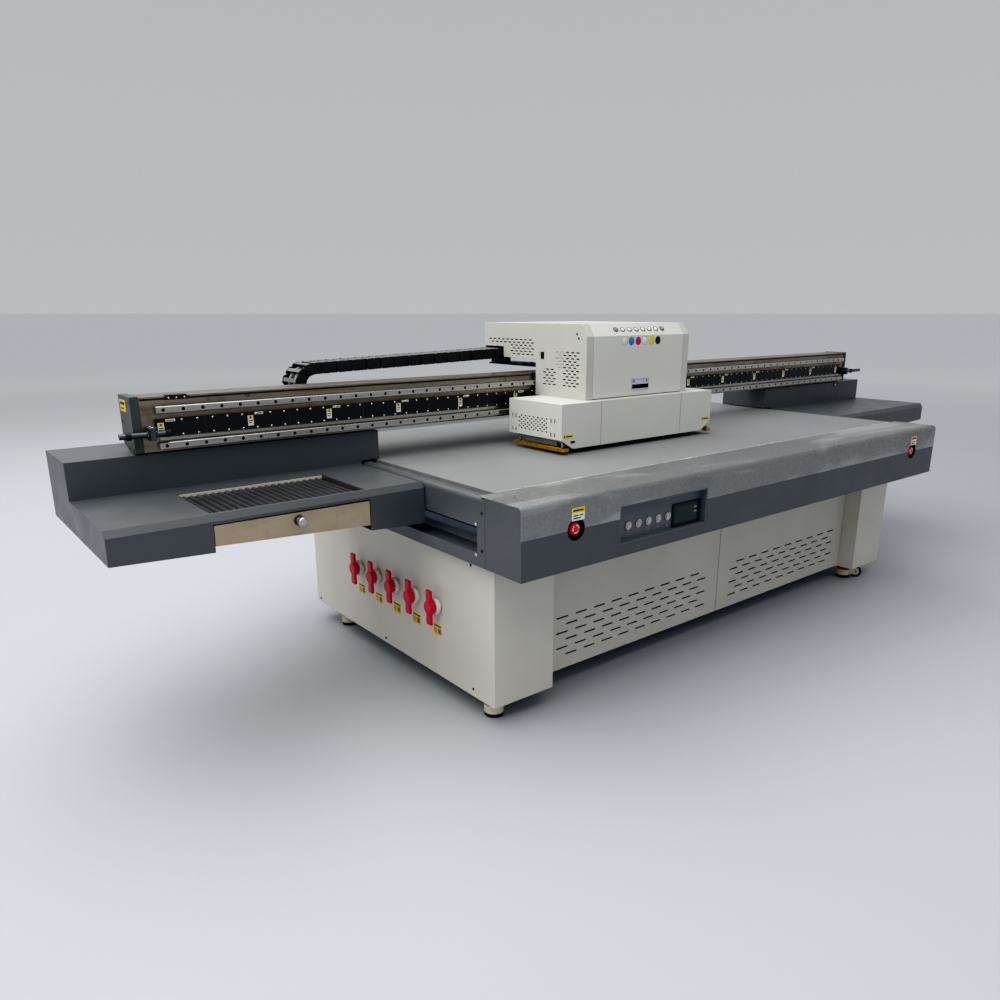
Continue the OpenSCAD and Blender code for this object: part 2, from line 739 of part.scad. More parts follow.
// Waste drawer with a sloping floor, and the knob on its front
module drawer() color("#a59683") {
    front = [[drawer_x[0], wing_low_z(-drawer_x[0]) + 17], [drawer_x[1], wing_low_z(-drawer_x[1]) + 17],
             [drawer_x[1], 754], [drawer_x[0], 756]];
    floor_z = [for (x = drawer_x) wing_low_z(-x) + 17];
    prism_y(front, [wing_front_y + 2, wing_front_y + 5]);
    difference() {
        prism_y([[drawer_x[0], floor_z[0]], [drawer_x[1], floor_z[1]], [drawer_x[1], 748],
                 [drawer_x[0], 748]], [wing_front_y + 5, -12]);
        prism_y([[drawer_x[0] + 2, floor_z[0] + 2], [drawer_x[1] - 2, floor_z[1] + 2], [drawer_x[1] - 2, 749],
                 [drawer_x[0] + 2, 749]], [wing_front_y + 4, -14]);
    }
    translate([knob_x, wing_front_y + 2, 731]) rotate([90, 0, 0]) rotate_extrude()
        polygon([[0, 0], [9, 0], [7, 6], [7, 14], [13.5, 18], [13.5, 28], [11, 31], [0, 31]]);
}

// ---- Carriage slider
// Plate with its guide blocks, motor coil, lift screw and the chain's bracket
module carriage_plate() color("#4c5155") {
    plate_y = [43, 55];
    block([-480, 115], plate_y, [860, 1125]);
    for (x = [-470, 5], z = rail_zs)
        difference() {
            block([x, x + 100], [plate_y[1], beam_y[0] - 3], [z - 25, z + 25]);
            block([x - 1, x + 101], [beam_y[0] - rail_t - 0.3, beam_y[0]],
                  [z - rail_w / 2 - 0.3, z + rail_w / 2 + 0.3]);
        }
    block([-340, -30], [plate_y[1], beam_y[0] - 12], [track_z[0] + 4, track_z[1] - 4]);
    for (x = lift_xs)
        block([x - 10, x + 10], [31, plate_y[0]], [862, 1122]);
    rod_z(lift_screw_r, lift_screw_x, lift_screw_y, [880, 1112]);
    block([lift_screw_x - 32, lift_screw_x + 32], [-5, plate_y[0]], [1110, 1122]);
    block([lift_screw_x - 28, lift_screw_x + 28], [-8, 47], [1122, 1180]);
    // bracket over the beam, and the block that ends the drag chain
    block([-470, -330], [plate_y[1], chain_y[1] + 4], [1100, 1106]);
    block([-460, upper_x[0] + 46], chain_y, [1106, chain_top_z]);
    block([upper_x[0] + 1, -460], chain_y, [chain_top_z - chain_t, chain_top_z]);
}

// ---- Printing carriage
// Base plate for the heads, back plate on the lift rails, and the ink tanks' shelf
module head_frame() color("#8c9093") {
    base_z = [lower_z[0] + 2, lower_z[0] + 10];
    plate_x = [lower_x[0] + 68, lower_x[1] - 68];
    plate_back_y = [14, 22];
    difference() {
        block(plate_x, [lower_y[0] + 8, plate_back_y[1]], base_z);
        for (i = [0 : head_count - 1])
            translate([head_x(i), head_y, 0])
                block([-22, 22], [-92, 92], [base_z[0] - 1, base_z[1] + 1]);
    }
    block(plate_x, plate_back_y, [base_z[1], 980]);
    block([-480, 115], plate_back_y, [980, 1000]);
    block([-480, 115], [-210, plate_back_y[0]], [960, 966]);
    for (x = lift_xs, z = [870, 945])
        difference() {
            block([x - 26, x + 26], [plate_back_y[1], 39], [z, z + 50]);
            block([x - 10.3, x + 10.3], [30.7, 40], [z - 1, z + 51]);
        }
    difference() {
        block([lift_screw_x - 20, lift_screw_x + 20], [plate_back_y[1], 41], [950, 990]);
        rod_z(lift_screw_r + 0.1, lift_screw_x, lift_screw_y, [949, 991]);
    }
    // side rails that hold the cover, and the crash bars' brackets
    both_ends() {
        block([plate_x[0], plate_x[0] + 8], [lower_y[0] + 8, plate_back_y[0]], [base_z[1], 980]);
        for (y = crash_post_ys)
            block([crash_post_x - 10, plate_x[0]], [y - 7, y + 10], [843, 848]);
    }
}

function head_x(i) = mid_x + (i - (head_count - 1) / 2) * 78;

// Repeats a part at the other end of the carriage
module both_ends() {
    children();
    translate([2 * mid_x, 0, 0]) mirror([1, 0, 0]) children();
}

// Print heads in a row, with an ink tank above each
module print_heads()
    for (i = [0 : head_count - 1])
        translate([head_x(i), head_y, 0]) {
            color("#2d3033") block([-21, 21], [-91, 91], [lower_z[0] - 1, 880]);
            color("#2d3033") block([-17, 17], [-60, 60], [880, 940]);
            color("#d8d8d2") block([-26, 26], [-70, 70], [966, 1086]);
        }

module uv_lamps() color("#43484c") both_ends()
    block([lower_x[0] + 8, lower_x[0] + 68], [-245, -55], [lower_z[0] + 12, 940]);

// Brass bar that stops the carriage when it meets raised media
module crash_bar() color("#c69a45") {
    block(crash_x, crash_y, crash_z);
    for (y = crash_post_ys)
        rod_z(4, crash_post_x, y, [crash_z[1], 842.5]);
}

module crash_bar_left() crash_bar();

module crash_bar_right() translate([2 * mid_x, 0, 0]) mirror([1, 0, 0]) crash_bar();

// Wide lower cover, with cut corners and louvred ends
module lower_cover() color("#cfcfc9") {
    front = [[lower_x[0], skirt_z], [lower_x[0] + corner_cut, lower_z[0]],
             [lower_x[1] - corner_cut, lower_z[0]], [lower_x[1], skirt_z],
             [lower_x[1], lower_z[1]], [lower_x[0], lower_z[1]]];
    difference() {
        union() {
            prism_y(front, [lower_y[0], lower_y[0] + sheet]);
            block(lower_x, lower_y, [lower_z[1] - sheet, lower_z[1]]);
            block([lower_x[0], lower_x[0] + sheet], lower_y, [skirt_z, lower_z[1]]);
            block([lower_x[1] - sheet, lower_x[1]], lower_y, [skirt_z, lower_z[1]]);
        }
        block([upper_x[0] + 6, upper_x[1] - 6], [upper_y[0] + 6, lower_y[1] + 1],
              [lower_z[1] - 10, lower_z[1] + 1]);
        for (x = lower_x) {
            for (row = [0 : 6], i = [0 : 6])
                slot_x(x, -192 + i * 25 + (row % 2) * 12.5, 875 + row * 8.4, 10, 6);
            for (y = [-240, -219, -7, 14], z = [867, 921])
                slot_x(x, y, z, 6, 17);
        }
    }
}

// Tall upper cover with an arm that reaches back over the beam
module upper_cover() color("#cfcfc9") {
    top = carriage_top;
    x_in = [upper_x[0] + sheet, upper_x[1] - sheet];
    side = [[upper_y[0], lower_z[1]], [upper_y[1], lower_z[1]], [upper_y[1], arm_z], [arm_back_y, arm_z],
            [arm_back_y, top], [slope_y, top], [upper_y[0], slope_z]];
    notch = [chain_y[0] - 8, chain_y[1] + 2];
    difference() {
        union() {
            prism_x(side, [upper_x[0], x_in[0]]);
            prism_x(side, [x_in[1], upper_x[1]]);
        }
        block([upper_x[0] - 1, x_in[0] + 1], notch, [arm_z - 1, chain_top_z + 8]);
        for (x = upper_x)
            upper_louvres(x);
    }
    // top, back and the arm's floor
    block(x_in, [slope_y + 3, arm_back_y], [top - sheet, top]);
    block(x_in, [arm_back_y - sheet, arm_back_y], [arm_z, top - sheet]);
    block([upper_x[0] + 100, x_in[1]], [upper_y[1], arm_back_y - sheet], [arm_z, arm_z + sheet]);
    // front strips beside the door, with holes for its hinge pins
    difference() {
        for (x = [[x_in[0], door_x[0] - 1], [door_x[1] + 1, x_in[1]]])
            prism_x([[upper_y[0], lower_z[1]], [upper_y[0] + sheet, lower_z[1]],
                     [upper_y[0] + sheet, slope_z - 1], [slope_y + 3, top - sheet], [slope_y + 3, top],
                     [slope_y, top], [upper_y[0], slope_z]], x);
        rod_x(hinge_pin_r + 0.1, [door_x[0] - 7, door_x[1] + 7], hinge_y, hinge_z);
    }
}

// Slots in one side of the upper cover: two blocks on the body, and two long rows and a block on the arm
module upper_louvres(x) {
    pitch_y = 30;
    pitch_z = 12;
    for (row = [0 : 11], i = [0 : 6]) {
        y = (row % 2 == 0 ? -5 : 11) - i * pitch_y;
        if (y < -100 || (row >= 6 && y > -55))
            slot_x(x, y, 1169.5 - row * pitch_z, 18, 5);
    }
    for (row = [0 : 5], i = [0 : row < 2 ? 9 : 4])
        slot_x(x, (row % 2 == 0 ? 105 : 90) + i * pitch_y, 1211 - row * pitch_z, 18, 5);
}

// Ventilation slot with cut corners, through a sheet that faces along X
module slot_x(x, y, z, l, w) {
    c = 0.3 * min(l, w);
    a = l / 2;
    b = w / 2;
    prism_x([[y - a, z - b + c], [y - a + c, z - b], [y + a - c, z - b], [y + a, z - b + c],
             [y + a, z + b - c], [y + a - c, z + b], [y - a + c, z + b], [y - a, z + b - c]],
            [x - 6, x + 6]);
}

// Front door of the upper cover, with the sloping brow, hinged along its top edge
module service_door() color("#d4d4cf") {
    well = 4;                               // width of the latch frame round its well
    difference() {
        door_sheet();
        block(latch_x, [upper_y[0] - 1, upper_y[0] + 5], latch_z);
    }
    difference() {
        union() {
            block([latch_x[0] - 1, latch_x[1] + 1], [upper_y[0] + sheet, upper_y[0] + 20],
                  [latch_z[0] - 1, latch_z[1] + 1]);
            block(latch_x, [upper_y[0] - 3, upper_y[0] + sheet], latch_z);
        }
        block([latch_x[0] + well, latch_x[1] - well], [upper_y[0] - 4, upper_y[0] + 17],
              [latch_z[0] + well, latch_z[1] - well]);
        rod_x(1.1, [latch_x[0] + 1.5, latch_x[1] - 1.5], upper_y[0] - 1.5, flap_axis_z);
    }
    rod_x(hinge_pin_r + 0.5, door_x, hinge_y, hinge_z);
    rod_x(hinge_pin_r, [door_x[0] - 6, door_x[1] + 6], hinge_y, hinge_z);
}

module door_sheet()
    prism_x([[upper_y[0], lower_z[1] + 3], [upper_y[0] + 14, lower_z[1] + 3],
             [upper_y[0] + 14, lower_z[1] + 6], [upper_y[0] + sheet, lower_z[1] + 6],
             [upper_y[0] + sheet, slope_z - 1], [hinge_y, carriage_top - 4],
             [hinge_y, carriage_top], [slope_y - 1, carriage_top], [upper_y[0], slope_z]], door_x);

// Flap of the door's latch, hinged at its top on a thin pin
module door_latch() color("#c9cbcc") {
    block([latch_x[0] + 5, latch_x[1] - 5], [upper_y[0] - 3, upper_y[0]], [1036, 1056]);
    rod_x(1, [latch_x[0] + 2, latch_x[1] - 2], upper_y[0] - 1.5, flap_axis_z);
}

main_frame();
table_base();
platen();
edge_plate();
front_fascia();
side_covers();
cabinet_panels();
rear_panel();
y_rails();
vacuum_blower();
suction_pipes();
electrics_box();
control_panel();
panel_display();
switch_bodies();
levelling_feet();
door_left();
door_right();
valve_handle_1();
valve_handle_2();
valve_handle_3();
valve_handle_4();
valve_handle_5();
estop_left();
estop_right();
panel_button_1();
panel_button_2();
panel_button_3();
panel_button_4();
panel_button_5();
caster_fork_1();
caster_fork_2();
caster_fork_3();
caster_fork_4();
caster_wheel_1();
caster_wheel_2();
caster_wheel_3();
caster_wheel_4();
beam();
beam_end_caps();
x_rails();
magnet_track();
end_stops();
gantry_legs();
left_wing_cover();
right_wing_cover();
catch_mat();
cable_chain();
chain_tray();
drawer();
carriage_plate();
head_frame();
print_heads();
uv_lamps();
crash_bar_left();
crash_bar_right();
lower_cover();
upper_cover();
service_door();
door_latch();
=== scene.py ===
"""Looks of a flatbed UV printer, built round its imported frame.

Metres throughout: X along the beam, Y from the front apron to the back, Z up from the floor.
"""
import math
from itertools import product

import bmesh
import bpy
from mathutils import Matrix, Vector, noise


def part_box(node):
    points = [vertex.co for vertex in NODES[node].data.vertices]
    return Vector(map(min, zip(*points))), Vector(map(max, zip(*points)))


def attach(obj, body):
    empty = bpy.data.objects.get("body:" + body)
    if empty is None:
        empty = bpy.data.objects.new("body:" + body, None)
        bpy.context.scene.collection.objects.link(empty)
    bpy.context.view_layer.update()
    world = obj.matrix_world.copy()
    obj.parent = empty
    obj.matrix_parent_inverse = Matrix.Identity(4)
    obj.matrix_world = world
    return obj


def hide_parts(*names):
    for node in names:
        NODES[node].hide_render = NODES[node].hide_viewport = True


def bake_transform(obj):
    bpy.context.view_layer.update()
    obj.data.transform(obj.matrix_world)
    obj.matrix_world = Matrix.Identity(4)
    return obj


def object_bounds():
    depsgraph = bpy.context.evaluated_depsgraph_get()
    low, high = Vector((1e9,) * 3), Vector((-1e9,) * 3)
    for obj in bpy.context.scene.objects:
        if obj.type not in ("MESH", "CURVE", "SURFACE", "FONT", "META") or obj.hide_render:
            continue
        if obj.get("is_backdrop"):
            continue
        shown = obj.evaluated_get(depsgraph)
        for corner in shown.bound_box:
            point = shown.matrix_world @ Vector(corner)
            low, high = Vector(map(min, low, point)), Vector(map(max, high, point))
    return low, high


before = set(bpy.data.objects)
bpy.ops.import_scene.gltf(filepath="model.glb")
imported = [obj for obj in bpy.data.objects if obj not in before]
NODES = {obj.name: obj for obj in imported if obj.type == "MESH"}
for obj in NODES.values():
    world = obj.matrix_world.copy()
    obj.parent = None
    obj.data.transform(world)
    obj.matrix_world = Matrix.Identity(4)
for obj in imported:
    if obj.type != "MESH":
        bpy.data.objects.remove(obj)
cad_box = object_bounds()

SKIN = 0.0003                  # thickness of a printed label
SHARP = math.radians(35)       # edges steeper than this are shaded sharp
FOLD_R = 0.0025                # outer radius of a folded sheet edge
SKY_TOP = 0.7                  # height on the unit sphere where the surround is all zenith colour
FLOOR_HALF = 500
FLOOR_FADE = (3.0, 14.0)       # distances between which the floor pales into the surround
HOME = Matrix.Identity(4)


# ---- Camera, floor and light

def add_camera():
    camera = bpy.data.cameras.new("camera")
    camera.lens = 28.08
    camera.sensor_width = 36
    camera.shift_x = -0.0051
    camera.shift_y = 0.0323
    camera.clip_end = 300
    holder = bpy.data.objects.new("camera", camera)
    holder.location = (-2.683, -2.454, 1.332)
    holder.rotation_euler = (math.radians(74.1), 0, math.radians(-38.8))
    bpy.context.scene.collection.objects.link(holder)
    bpy.context.scene.camera = holder


def add_area_light(name, place, target, size, power, color):
    light = bpy.data.lights.new(name, "AREA")
    light.shape = "RECTANGLE"
    light.size, light.size_y = size
    light.energy = power
    light.color = color
    holder = bpy.data.objects.new(name, light)
    holder.location = place
    aim = Vector(target) - Vector(place)
    holder.rotation_euler = aim.to_track_quat("-Z", "Y").to_euler()
    bpy.context.scene.collection.objects.link(holder)


def add_world(horizon, zenith, strength):
    """Plain studio surround that fades from its horizon colour to its zenith colour."""
    world = bpy.data.worlds.new("world")
    world.use_nodes = True
    tree = world.node_tree
    direction = tree.nodes.new("ShaderNodeTexCoord").outputs["Generated"]
    height = tree.nodes.new("ShaderNodeSeparateXYZ")
    tree.links.new(direction, height.inputs[0])
    climb = tree.nodes.new("ShaderNodeMapRange")
    climb.inputs["From Max"].default_value = SKY_TOP
    tree.links.new(height.outputs[2], climb.inputs["Value"])
    mix = tree.nodes.new("ShaderNodeMix")
    mix.data_type = "RGBA"
    mix.inputs[6].default_value = (*horizon, 1)
    mix.inputs[7].default_value = (*zenith, 1)
    tree.links.new(climb.outputs[0], mix.inputs[0])
    background = tree.nodes["Background"]
    tree.links.new(mix.outputs[2], background.inputs["Color"])
    background.inputs["Strength"].default_value = strength
    bpy.context.scene.world = world


def add_floor():
    mesh = bpy.data.meshes.new("floor")
    corners = [(x * FLOOR_HALF, y * FLOOR_HALF, 0) for x, y in ((-1, -1), (1, -1), (1, 1), (-1, 1))]
    mesh.from_pydata(corners, [], [(0, 1, 2, 3)])
    finish = Finish("floor", (184, 187, 192), 0.7)
    finish.tint(finish.noise(0.6, 2), (180, 183, 189))
    distance = finish.add("ShaderNodeVectorMath", {"Vector": finish.where}, operation="LENGTH")
    far = finish.ramp(distance.outputs["Value"], *FLOOR_FADE)
    finish.tint(far, (250, 251, 252))
    mesh.materials.append(finish.material)
    floor = bpy.data.objects.new("floor", mesh)
    bpy.context.scene.collection.objects.link(floor)
    floor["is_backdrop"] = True


# ---- Finishes

def linear(color):
    """An 8-bit sRGB colour as linear values."""
    return [((c / 255 + 0.055) / 1.055) ** 2.4 if c > 10 else c / 255 / 12.92 for c in color]


class Finish:
    """A procedural material: one Principled shader, and the node chains that feed it."""

    def __init__(self, name, color, rough, metal=0.0):
        self.material = bpy.data.materials.new(name)
        self.material.use_nodes = True
        self.tree = self.material.node_tree
        self.shader = self.tree.nodes["Principled BSDF"]
        self.color = (*linear(color), 1)
        self.shader.inputs["Base Color"].default_value = self.color
        self.shader.inputs["Roughness"].default_value = rough
        self.shader.inputs["Metallic"].default_value = metal
        self.where = self.add("ShaderNodeTexCoord").outputs["Object"]
        self.normal = None

    def add(self, kind, inputs=None, **settings):
        node = self.tree.nodes.new(kind)
        for key, value in settings.items():
            setattr(node, key, value)
        for key, value in (inputs or {}).items():
            if isinstance(value, bpy.types.NodeSocket):
                self.tree.links.new(value, node.inputs[key])
            else:
                node.inputs[key].default_value = value
        return node

    def stretched(self, stretch):
        if stretch == (1, 1, 1):
            return self.where
        return self.add("ShaderNodeMapping", {"Vector": self.where, "Scale": stretch}).outputs[0]

    def noise(self, scale, detail=3.0, stretch=(1, 1, 1), distortion=0.0):
        return self.add("ShaderNodeTexNoise", {
            "Vector": self.stretched(stretch), "Scale": scale, "Detail": detail,
            "Distortion": distortion}).outputs["Fac"]

    def cells(self, scale, stretch=(1, 1, 1)):
        """A random grey for each cell of a broken-glass pattern."""
        voronoi = self.add("ShaderNodeTexVoronoi", {"Vector": self.stretched(stretch), "Scale": scale})
        return self.add("ShaderNodeSeparateColor", {"Color": voronoi.outputs["Color"]}).outputs[0]

    def dots(self, pitch, radius):
        """A grid of round dots across X and Y: 1 inside a dot."""
        grid = self.add("ShaderNodeVectorMath", {0: self.where, 1: (1 / pitch, 1 / pitch, 0)},
                        operation="MULTIPLY").outputs[0]
        cell = self.add("ShaderNodeVectorMath", {0: grid}, operation="FRACTION").outputs[0]
        span = self.add("ShaderNodeVectorMath", {0: cell, 1: (0.5, 0.5, 0)},
                        operation="DISTANCE").outputs["Value"]
        return self.ramp(span, radius / pitch, 0.7 * radius / pitch)

    def ramp(self, value, low, high, to_low=0.0, to_high=1.0):
        return self.add("ShaderNodeMapRange", {
            "Value": value, "From Min": low, "From Max": high,
            "To Min": to_low, "To Max": to_high}).outputs[0]

    def times(self, first, second):
        return self.add("ShaderNodeMath", {0: first, 1: second}, operation="MULTIPLY").outputs[0]

    def tint(self, factor, color, amount=1.0):
        """Mixes another colour over the colour so far."""
        mix = self.add("ShaderNodeMix", data_type="RGBA")
        self.tree.links.new(self.times(factor, amount), mix.inputs[0])
        if isinstance(self.color, bpy.types.NodeSocket):
            self.tree.links.new(self.color, mix.inputs[6])
        else:
            mix.inputs[6].default_value = self.color
        mix.inputs[7].default_value = (*linear(color), 1)
        self.color = mix.outputs[2]
        self.tree.links.new(self.color, self.shader.inputs["Base Color"])

    def mottle(self, scale, detail, low, high, color, amount=1.0):
        """Tints the patches of a noise: none of it below low, all of it above high."""
        self.tint(self.ramp(self.noise(scale, detail), low, high), color, amount)

    def roughen(self, factor, low, high):
        self.tree.links.new(self.ramp(factor, 0.0, 1.0, low, high), self.shader.inputs["Roughness"])

    def bump(self, height, depth):
        """Adds relief of the given depth, in metres."""
        node = self.add("ShaderNodeBump", {"Height": height, "Strength": 1.0, "Distance": depth})
        if self.normal:
            self.tree.links.new(self.normal, node.inputs["Normal"])
        self.normal = node.outputs[0]
        self.tree.links.new(self.normal, self.shader.inputs["Normal"])

    def soften_edges(self, radius):
        """Rounds the look of folded and machined edges; called before any bump."""
        node = self.add("ShaderNodeBevel", {"Radius": radius}, samples=4)
        self.normal = node.outputs[0]
        self.tree.links.new(self.normal, self.shader.inputs["Normal"])


def shade(color, factor):
    return tuple(min(255, c * factor) for c in color)


def powder_coat(name, color, rough, cloud=0.05, grain=0.00005):
    """Textured paint: fine grain, faint clouding and a few handling marks."""
    finish = Finish(name, color, rough)
    finish.soften_edges(FOLD_R)
    clouds = finish.noise(1.8, 3)
    finish.tint(finish.ramp(clouds, 0.38, 0.66), shade(color, 1 - cloud))
    finish.mottle(700, 2, 0.45, 0.75, shade(color, 1.05), 0.5)
    marks = finish.noise(9, 5, distortion=0.4)
    finish.roughen(finish.ramp(marks, 0.35, 0.7), rough + 0.05, rough - 0.06)
    finish.bump(finish.noise(900, 2), grain)
    return finish.material


def plastic(name, color, rough):
    finish = Finish(name, color, rough)
    finish.mottle(14, 3, 0.35, 0.7, shade(color, 0.9))
    finish.roughen(finish.noise(60, 3), rough - 0.06, rough + 0.1)
    finish.bump(finish.noise(500, 2), 0.00002)
    return finish.material


def rubber(name, color, rough):
    finish = Finish(name, color, rough)
    finish.mottle(30, 4, 0.45, 0.75, shade(color, 1.5))
    finish.roughen(finish.noise(90, 3), rough - 0.08, rough + 0.12)
    finish.bump(finish.noise(650, 3), 0.00006)
    return finish.material


def brushed(name, color, rough, dark, streak=(1, 60, 60), metal=0.9, smudge=0.35):
    """Metal with fine lines along its long side, cloudy reflections and smudges."""
    finish = Finish(name, color, rough, metal)
    lines = finish.noise(8, 4, streak)
    finish.tint(finish.ramp(lines, 0.35, 0.7), dark, 0.55)
    broad = finish.noise(1.5, 3, (1, 6, 6))
    finish.tint(finish.ramp(broad, 0.45, 0.7), dark, 0.5)
    smudges = finish.noise(16, 5, distortion=1.2)
    finish.tint(finish.ramp(smudges, 0.56, 0.72), shade(dark, 0.85), smudge)
    finish.roughen(finish.ramp(smudges, 0.3, 0.7), rough - 0.04, rough + 0.04 + 0.2 * smudge)
    finish.bump(lines, 0.00002)
    return finish.material


def polished(name, color, rough):
    finish = Finish(name, color, rough, 1.0)
    finish.mottle(35, 4, 0.5, 0.75, shade(color, 0.8), 0.6)
    finish.roughen(finish.noise(80, 4), rough - 0.06, rough + 0.12)
    finish.bump(finish.noise(300, 2), 0.00001)
    return finish.material


def galvanised(name):
    """Zinc-coated sheet: small spangle, long pale streaks of painted reflection and dull patches."""
    finish = Finish(name, (146, 149, 149), 0.36, 0.8)
    finish.soften_edges(0.002)
    spangle = finish.cells(150)
    finish.tint(finish.ramp(spangle, 0.1, 1.0), (118, 120, 118), 0.3)
    finish.tint(finish.ramp(finish.cells(60), 0.5, 1.0), (128, 131, 131), 0.2)
    # painted reflection: long pale streaks, lighter than the zinc, for the bright surround mirrored in the
    # sheet
    painted_reflections = finish.noise(2.4, 5, (0.5, 2.4, 2.4), 0.7)
    finish.tint(finish.ramp(painted_reflections, 0.5, 0.68), (214, 219, 222), 0.6)
    finish.tint(finish.ramp(finish.noise(3.1, 4, (0.7, 1, 1)), 0.5, 0.7), (100, 102, 100), 0.4)
    finish.mottle(90, 3, 0.62, 0.74, (190, 193, 193), 0.2)
    finish.roughen(finish.ramp(spangle, 0.0, 1.0), 0.28, 0.48)
    finish.bump(finish.noise(260, 3), 0.00003)
    return finish.material


def platen_coat(name):
    """Matt grey table with rows of suction holes, faint scratches and dust."""
    base = (128, 131, 131)
    finish = Finish(name, base, 0.55)
    finish.mottle(1.6, 4, 0.4, 0.65, shade(base, 0.96))
    finish.mottle(1200, 2, 0.5, 0.8, shade(base, 1.2), 0.5)
    scratches = finish.ramp(finish.noise(7, 2, (1, 26, 1), 0.3), 0.73, 0.78)
    finish.tint(scratches, (150, 152, 150), 0.5)
    # the suction holes are real but drawn only as dark dots: their dark is painted shade inside the holes
    holes = finish.dots(0.025, 0.0012)
    finish.tint(holes, (26, 27, 28))
    finish.roughen(finish.noise(6, 4), 0.48, 0.58)
    finish.bump(finish.noise(1400, 2), 0.00004)
    return finish.material


def woven_screen(name):
    """Black wire mesh, as the fine weave behind a louvre."""
    finish = Finish(name, (7, 7, 8), 0.6)
    for direction in ("Y", "Z"):
        wires = finish.add("ShaderNodeTexWave", {"Vector": finish.where, "Scale": 110.0},
                           bands_direction=direction).outputs["Fac"]
        finish.tint(finish.ramp(wires, 0.6, 0.9), (22, 23, 24), 0.5)
        finish.bump(wires, 0.0002)
    finish.roughen(finish.noise(60, 2), 0.5, 0.7)
    return finish.material


def lcd_glass(name):
    """Dark liquid-crystal window with a faint green cast and fine rows."""
    finish = Finish(name, (16, 26, 23), 0.12)
    rows = finish.add("ShaderNodeTexWave", {"Vector": finish.where, "Scale": 320.0},
                      bands_direction="Z").outputs["Fac"]
    finish.tint(rows, (24, 40, 34), 0.6)
    finish.mottle(30, 2, 0.4, 0.7, (34, 58, 46), 0.5)
    finish.roughen(finish.noise(40, 2), 0.08, 0.2)
    return finish.material


PANEL_PAINT = (205, 202, 192)
COVER = (208, 208, 203)

# colour, roughness, clouding, depth of the grain
PAINTS = {
    "cabinet": (PANEL_PAINT, 0.42),
    "door": (shade(PANEL_PAINT, 0.98), 0.42),
    "apron": ((80, 84, 87), 0.42),
    "wing": ((79, 83, 86), 0.4),
    "cap": ((70, 73, 72), 0.42),
    "cover": (COVER, 0.38, 0.025),
    # a darker copy of the cover paint for the whole upper cover: painted shade
    "cover_side": ((194, 194, 188), 0.38),
    "brow": (shade(COVER, 1.01), 0.36, 0.025),
    "frame": ((90, 95, 99), 0.5, 0.1),
    "base": ((108, 113, 117), 0.5, 0.1),
    "leg": ((99, 104, 108), 0.5, 0.1),
    "tray": ((62, 68, 72), 0.46),
    "box": ((158, 160, 156), 0.45),
    "blower": ((91, 127, 146), 0.4, 0.12, 0.0001),
    "panel": ((92, 98, 102), 0.42),
    "cover_shadow": (shade(COVER, 0.8), 0.45),
}
# colour, roughness, darker colour, stretch of the lines, metal, smudges
BRUSHED = {
    "beam": ((150, 142, 130), 0.3, (98, 86, 74), (0.6, 14, 14)),
    "rail": ((192, 192, 189), 0.28, (136, 136, 134), (0.3, 30, 30), 0.85, 0.05),
    "drawer": ((180, 165, 143), 0.45, (158, 142, 119), (1, 2, 2), 0.3, 0.3),
    "plate": ((168, 170, 170), 0.36, (128, 130, 131)),
    "slider": ((42, 45, 48), 0.42, (28, 30, 32), (1, 60, 60), 0.6),
    "lamp": ((138, 139, 136), 0.4, (96, 97, 95), (1, 60, 60), 0.7),
    "pan": ((84, 84, 80), 0.4, (66, 66, 63), (1, 30, 30), 0.3, 0.1),
    # a much lighter copy of the pan finish: painted highlight on the pan's rear wall
    "pan_bright": ((228, 226, 214), 0.4, (205, 203, 192), (1, 30, 30), 0.2, 0.1),
}
# colour and roughness, here and in the two tables below
POLISHED = {
    "brass": ((206, 154, 62), 0.28),
    "chrome": ((226, 227, 228), 0.14),
    "nickel": ((196, 193, 188), 0.3),
    "bright_screw": ((236, 234, 228), 0.22),
    "dark_steel": ((96, 102, 108), 0.36),
}
PLASTICS = {
    "magnet": ((23, 24, 26), 0.42),
    "chain": ((33, 34, 36), 0.46),
    "black": ((24, 25, 27), 0.44),
    "cable_grey": ((150, 152, 150), 0.45),
    "red": ((200, 14, 44), 0.34),
    "stop_red": ((216, 26, 40), 0.28),
    "white_plastic": ((232, 230, 222), 0.4),
    "ivory": ((214, 208, 186), 0.42),
    "dial_red": ((150, 30, 44), 0.4),
    "wheel": ((26, 27, 29), 0.5),
    "rib": ((66, 67, 69), 0.34),
    "yellow": ((232, 206, 32), 0.4),
    "label_white": ((232, 232, 228), 0.4),
    "label_dark": ((44, 44, 36), 0.45),
    "label_orange": ((226, 140, 36), 0.4),
    "label_grey": ((128, 124, 128), 0.4),
    "label_red": ((196, 44, 44), 0.4),
    "cyan": ((0, 136, 200), 0.35),
    "magenta": ((190, 0, 104), 0.35),
    "dot_yellow": ((222, 210, 40), 0.35),
    "lens": ((246, 246, 244), 0.2),
    "lens_grey": ((150, 150, 152), 0.3),
    "bar": ((112, 113, 112), 0.36),
}
RUBBERS = {
    "cable_black": ((22, 22, 23), 0.5),
    "rubber": ((28, 28, 30), 0.72),
    "mat": ((50, 51, 54), 0.6),
    "sealant": ((190, 190, 184), 0.8),
}
FINISH = {
    "platen": platen_coat("platen"),
    "zinc": galvanised("zinc"),
    "screen": lcd_glass("screen"),
    "mesh_black": woven_screen("mesh_black"),
}
for make, table in ((powder_coat, PAINTS), (brushed, BRUSHED), (polished, POLISHED),
                    (plastic, PLASTICS), (rubber, RUBBERS)):
    FINISH.update({name: make(name, *values) for name, values in table.items()})


# ---- Mesh building

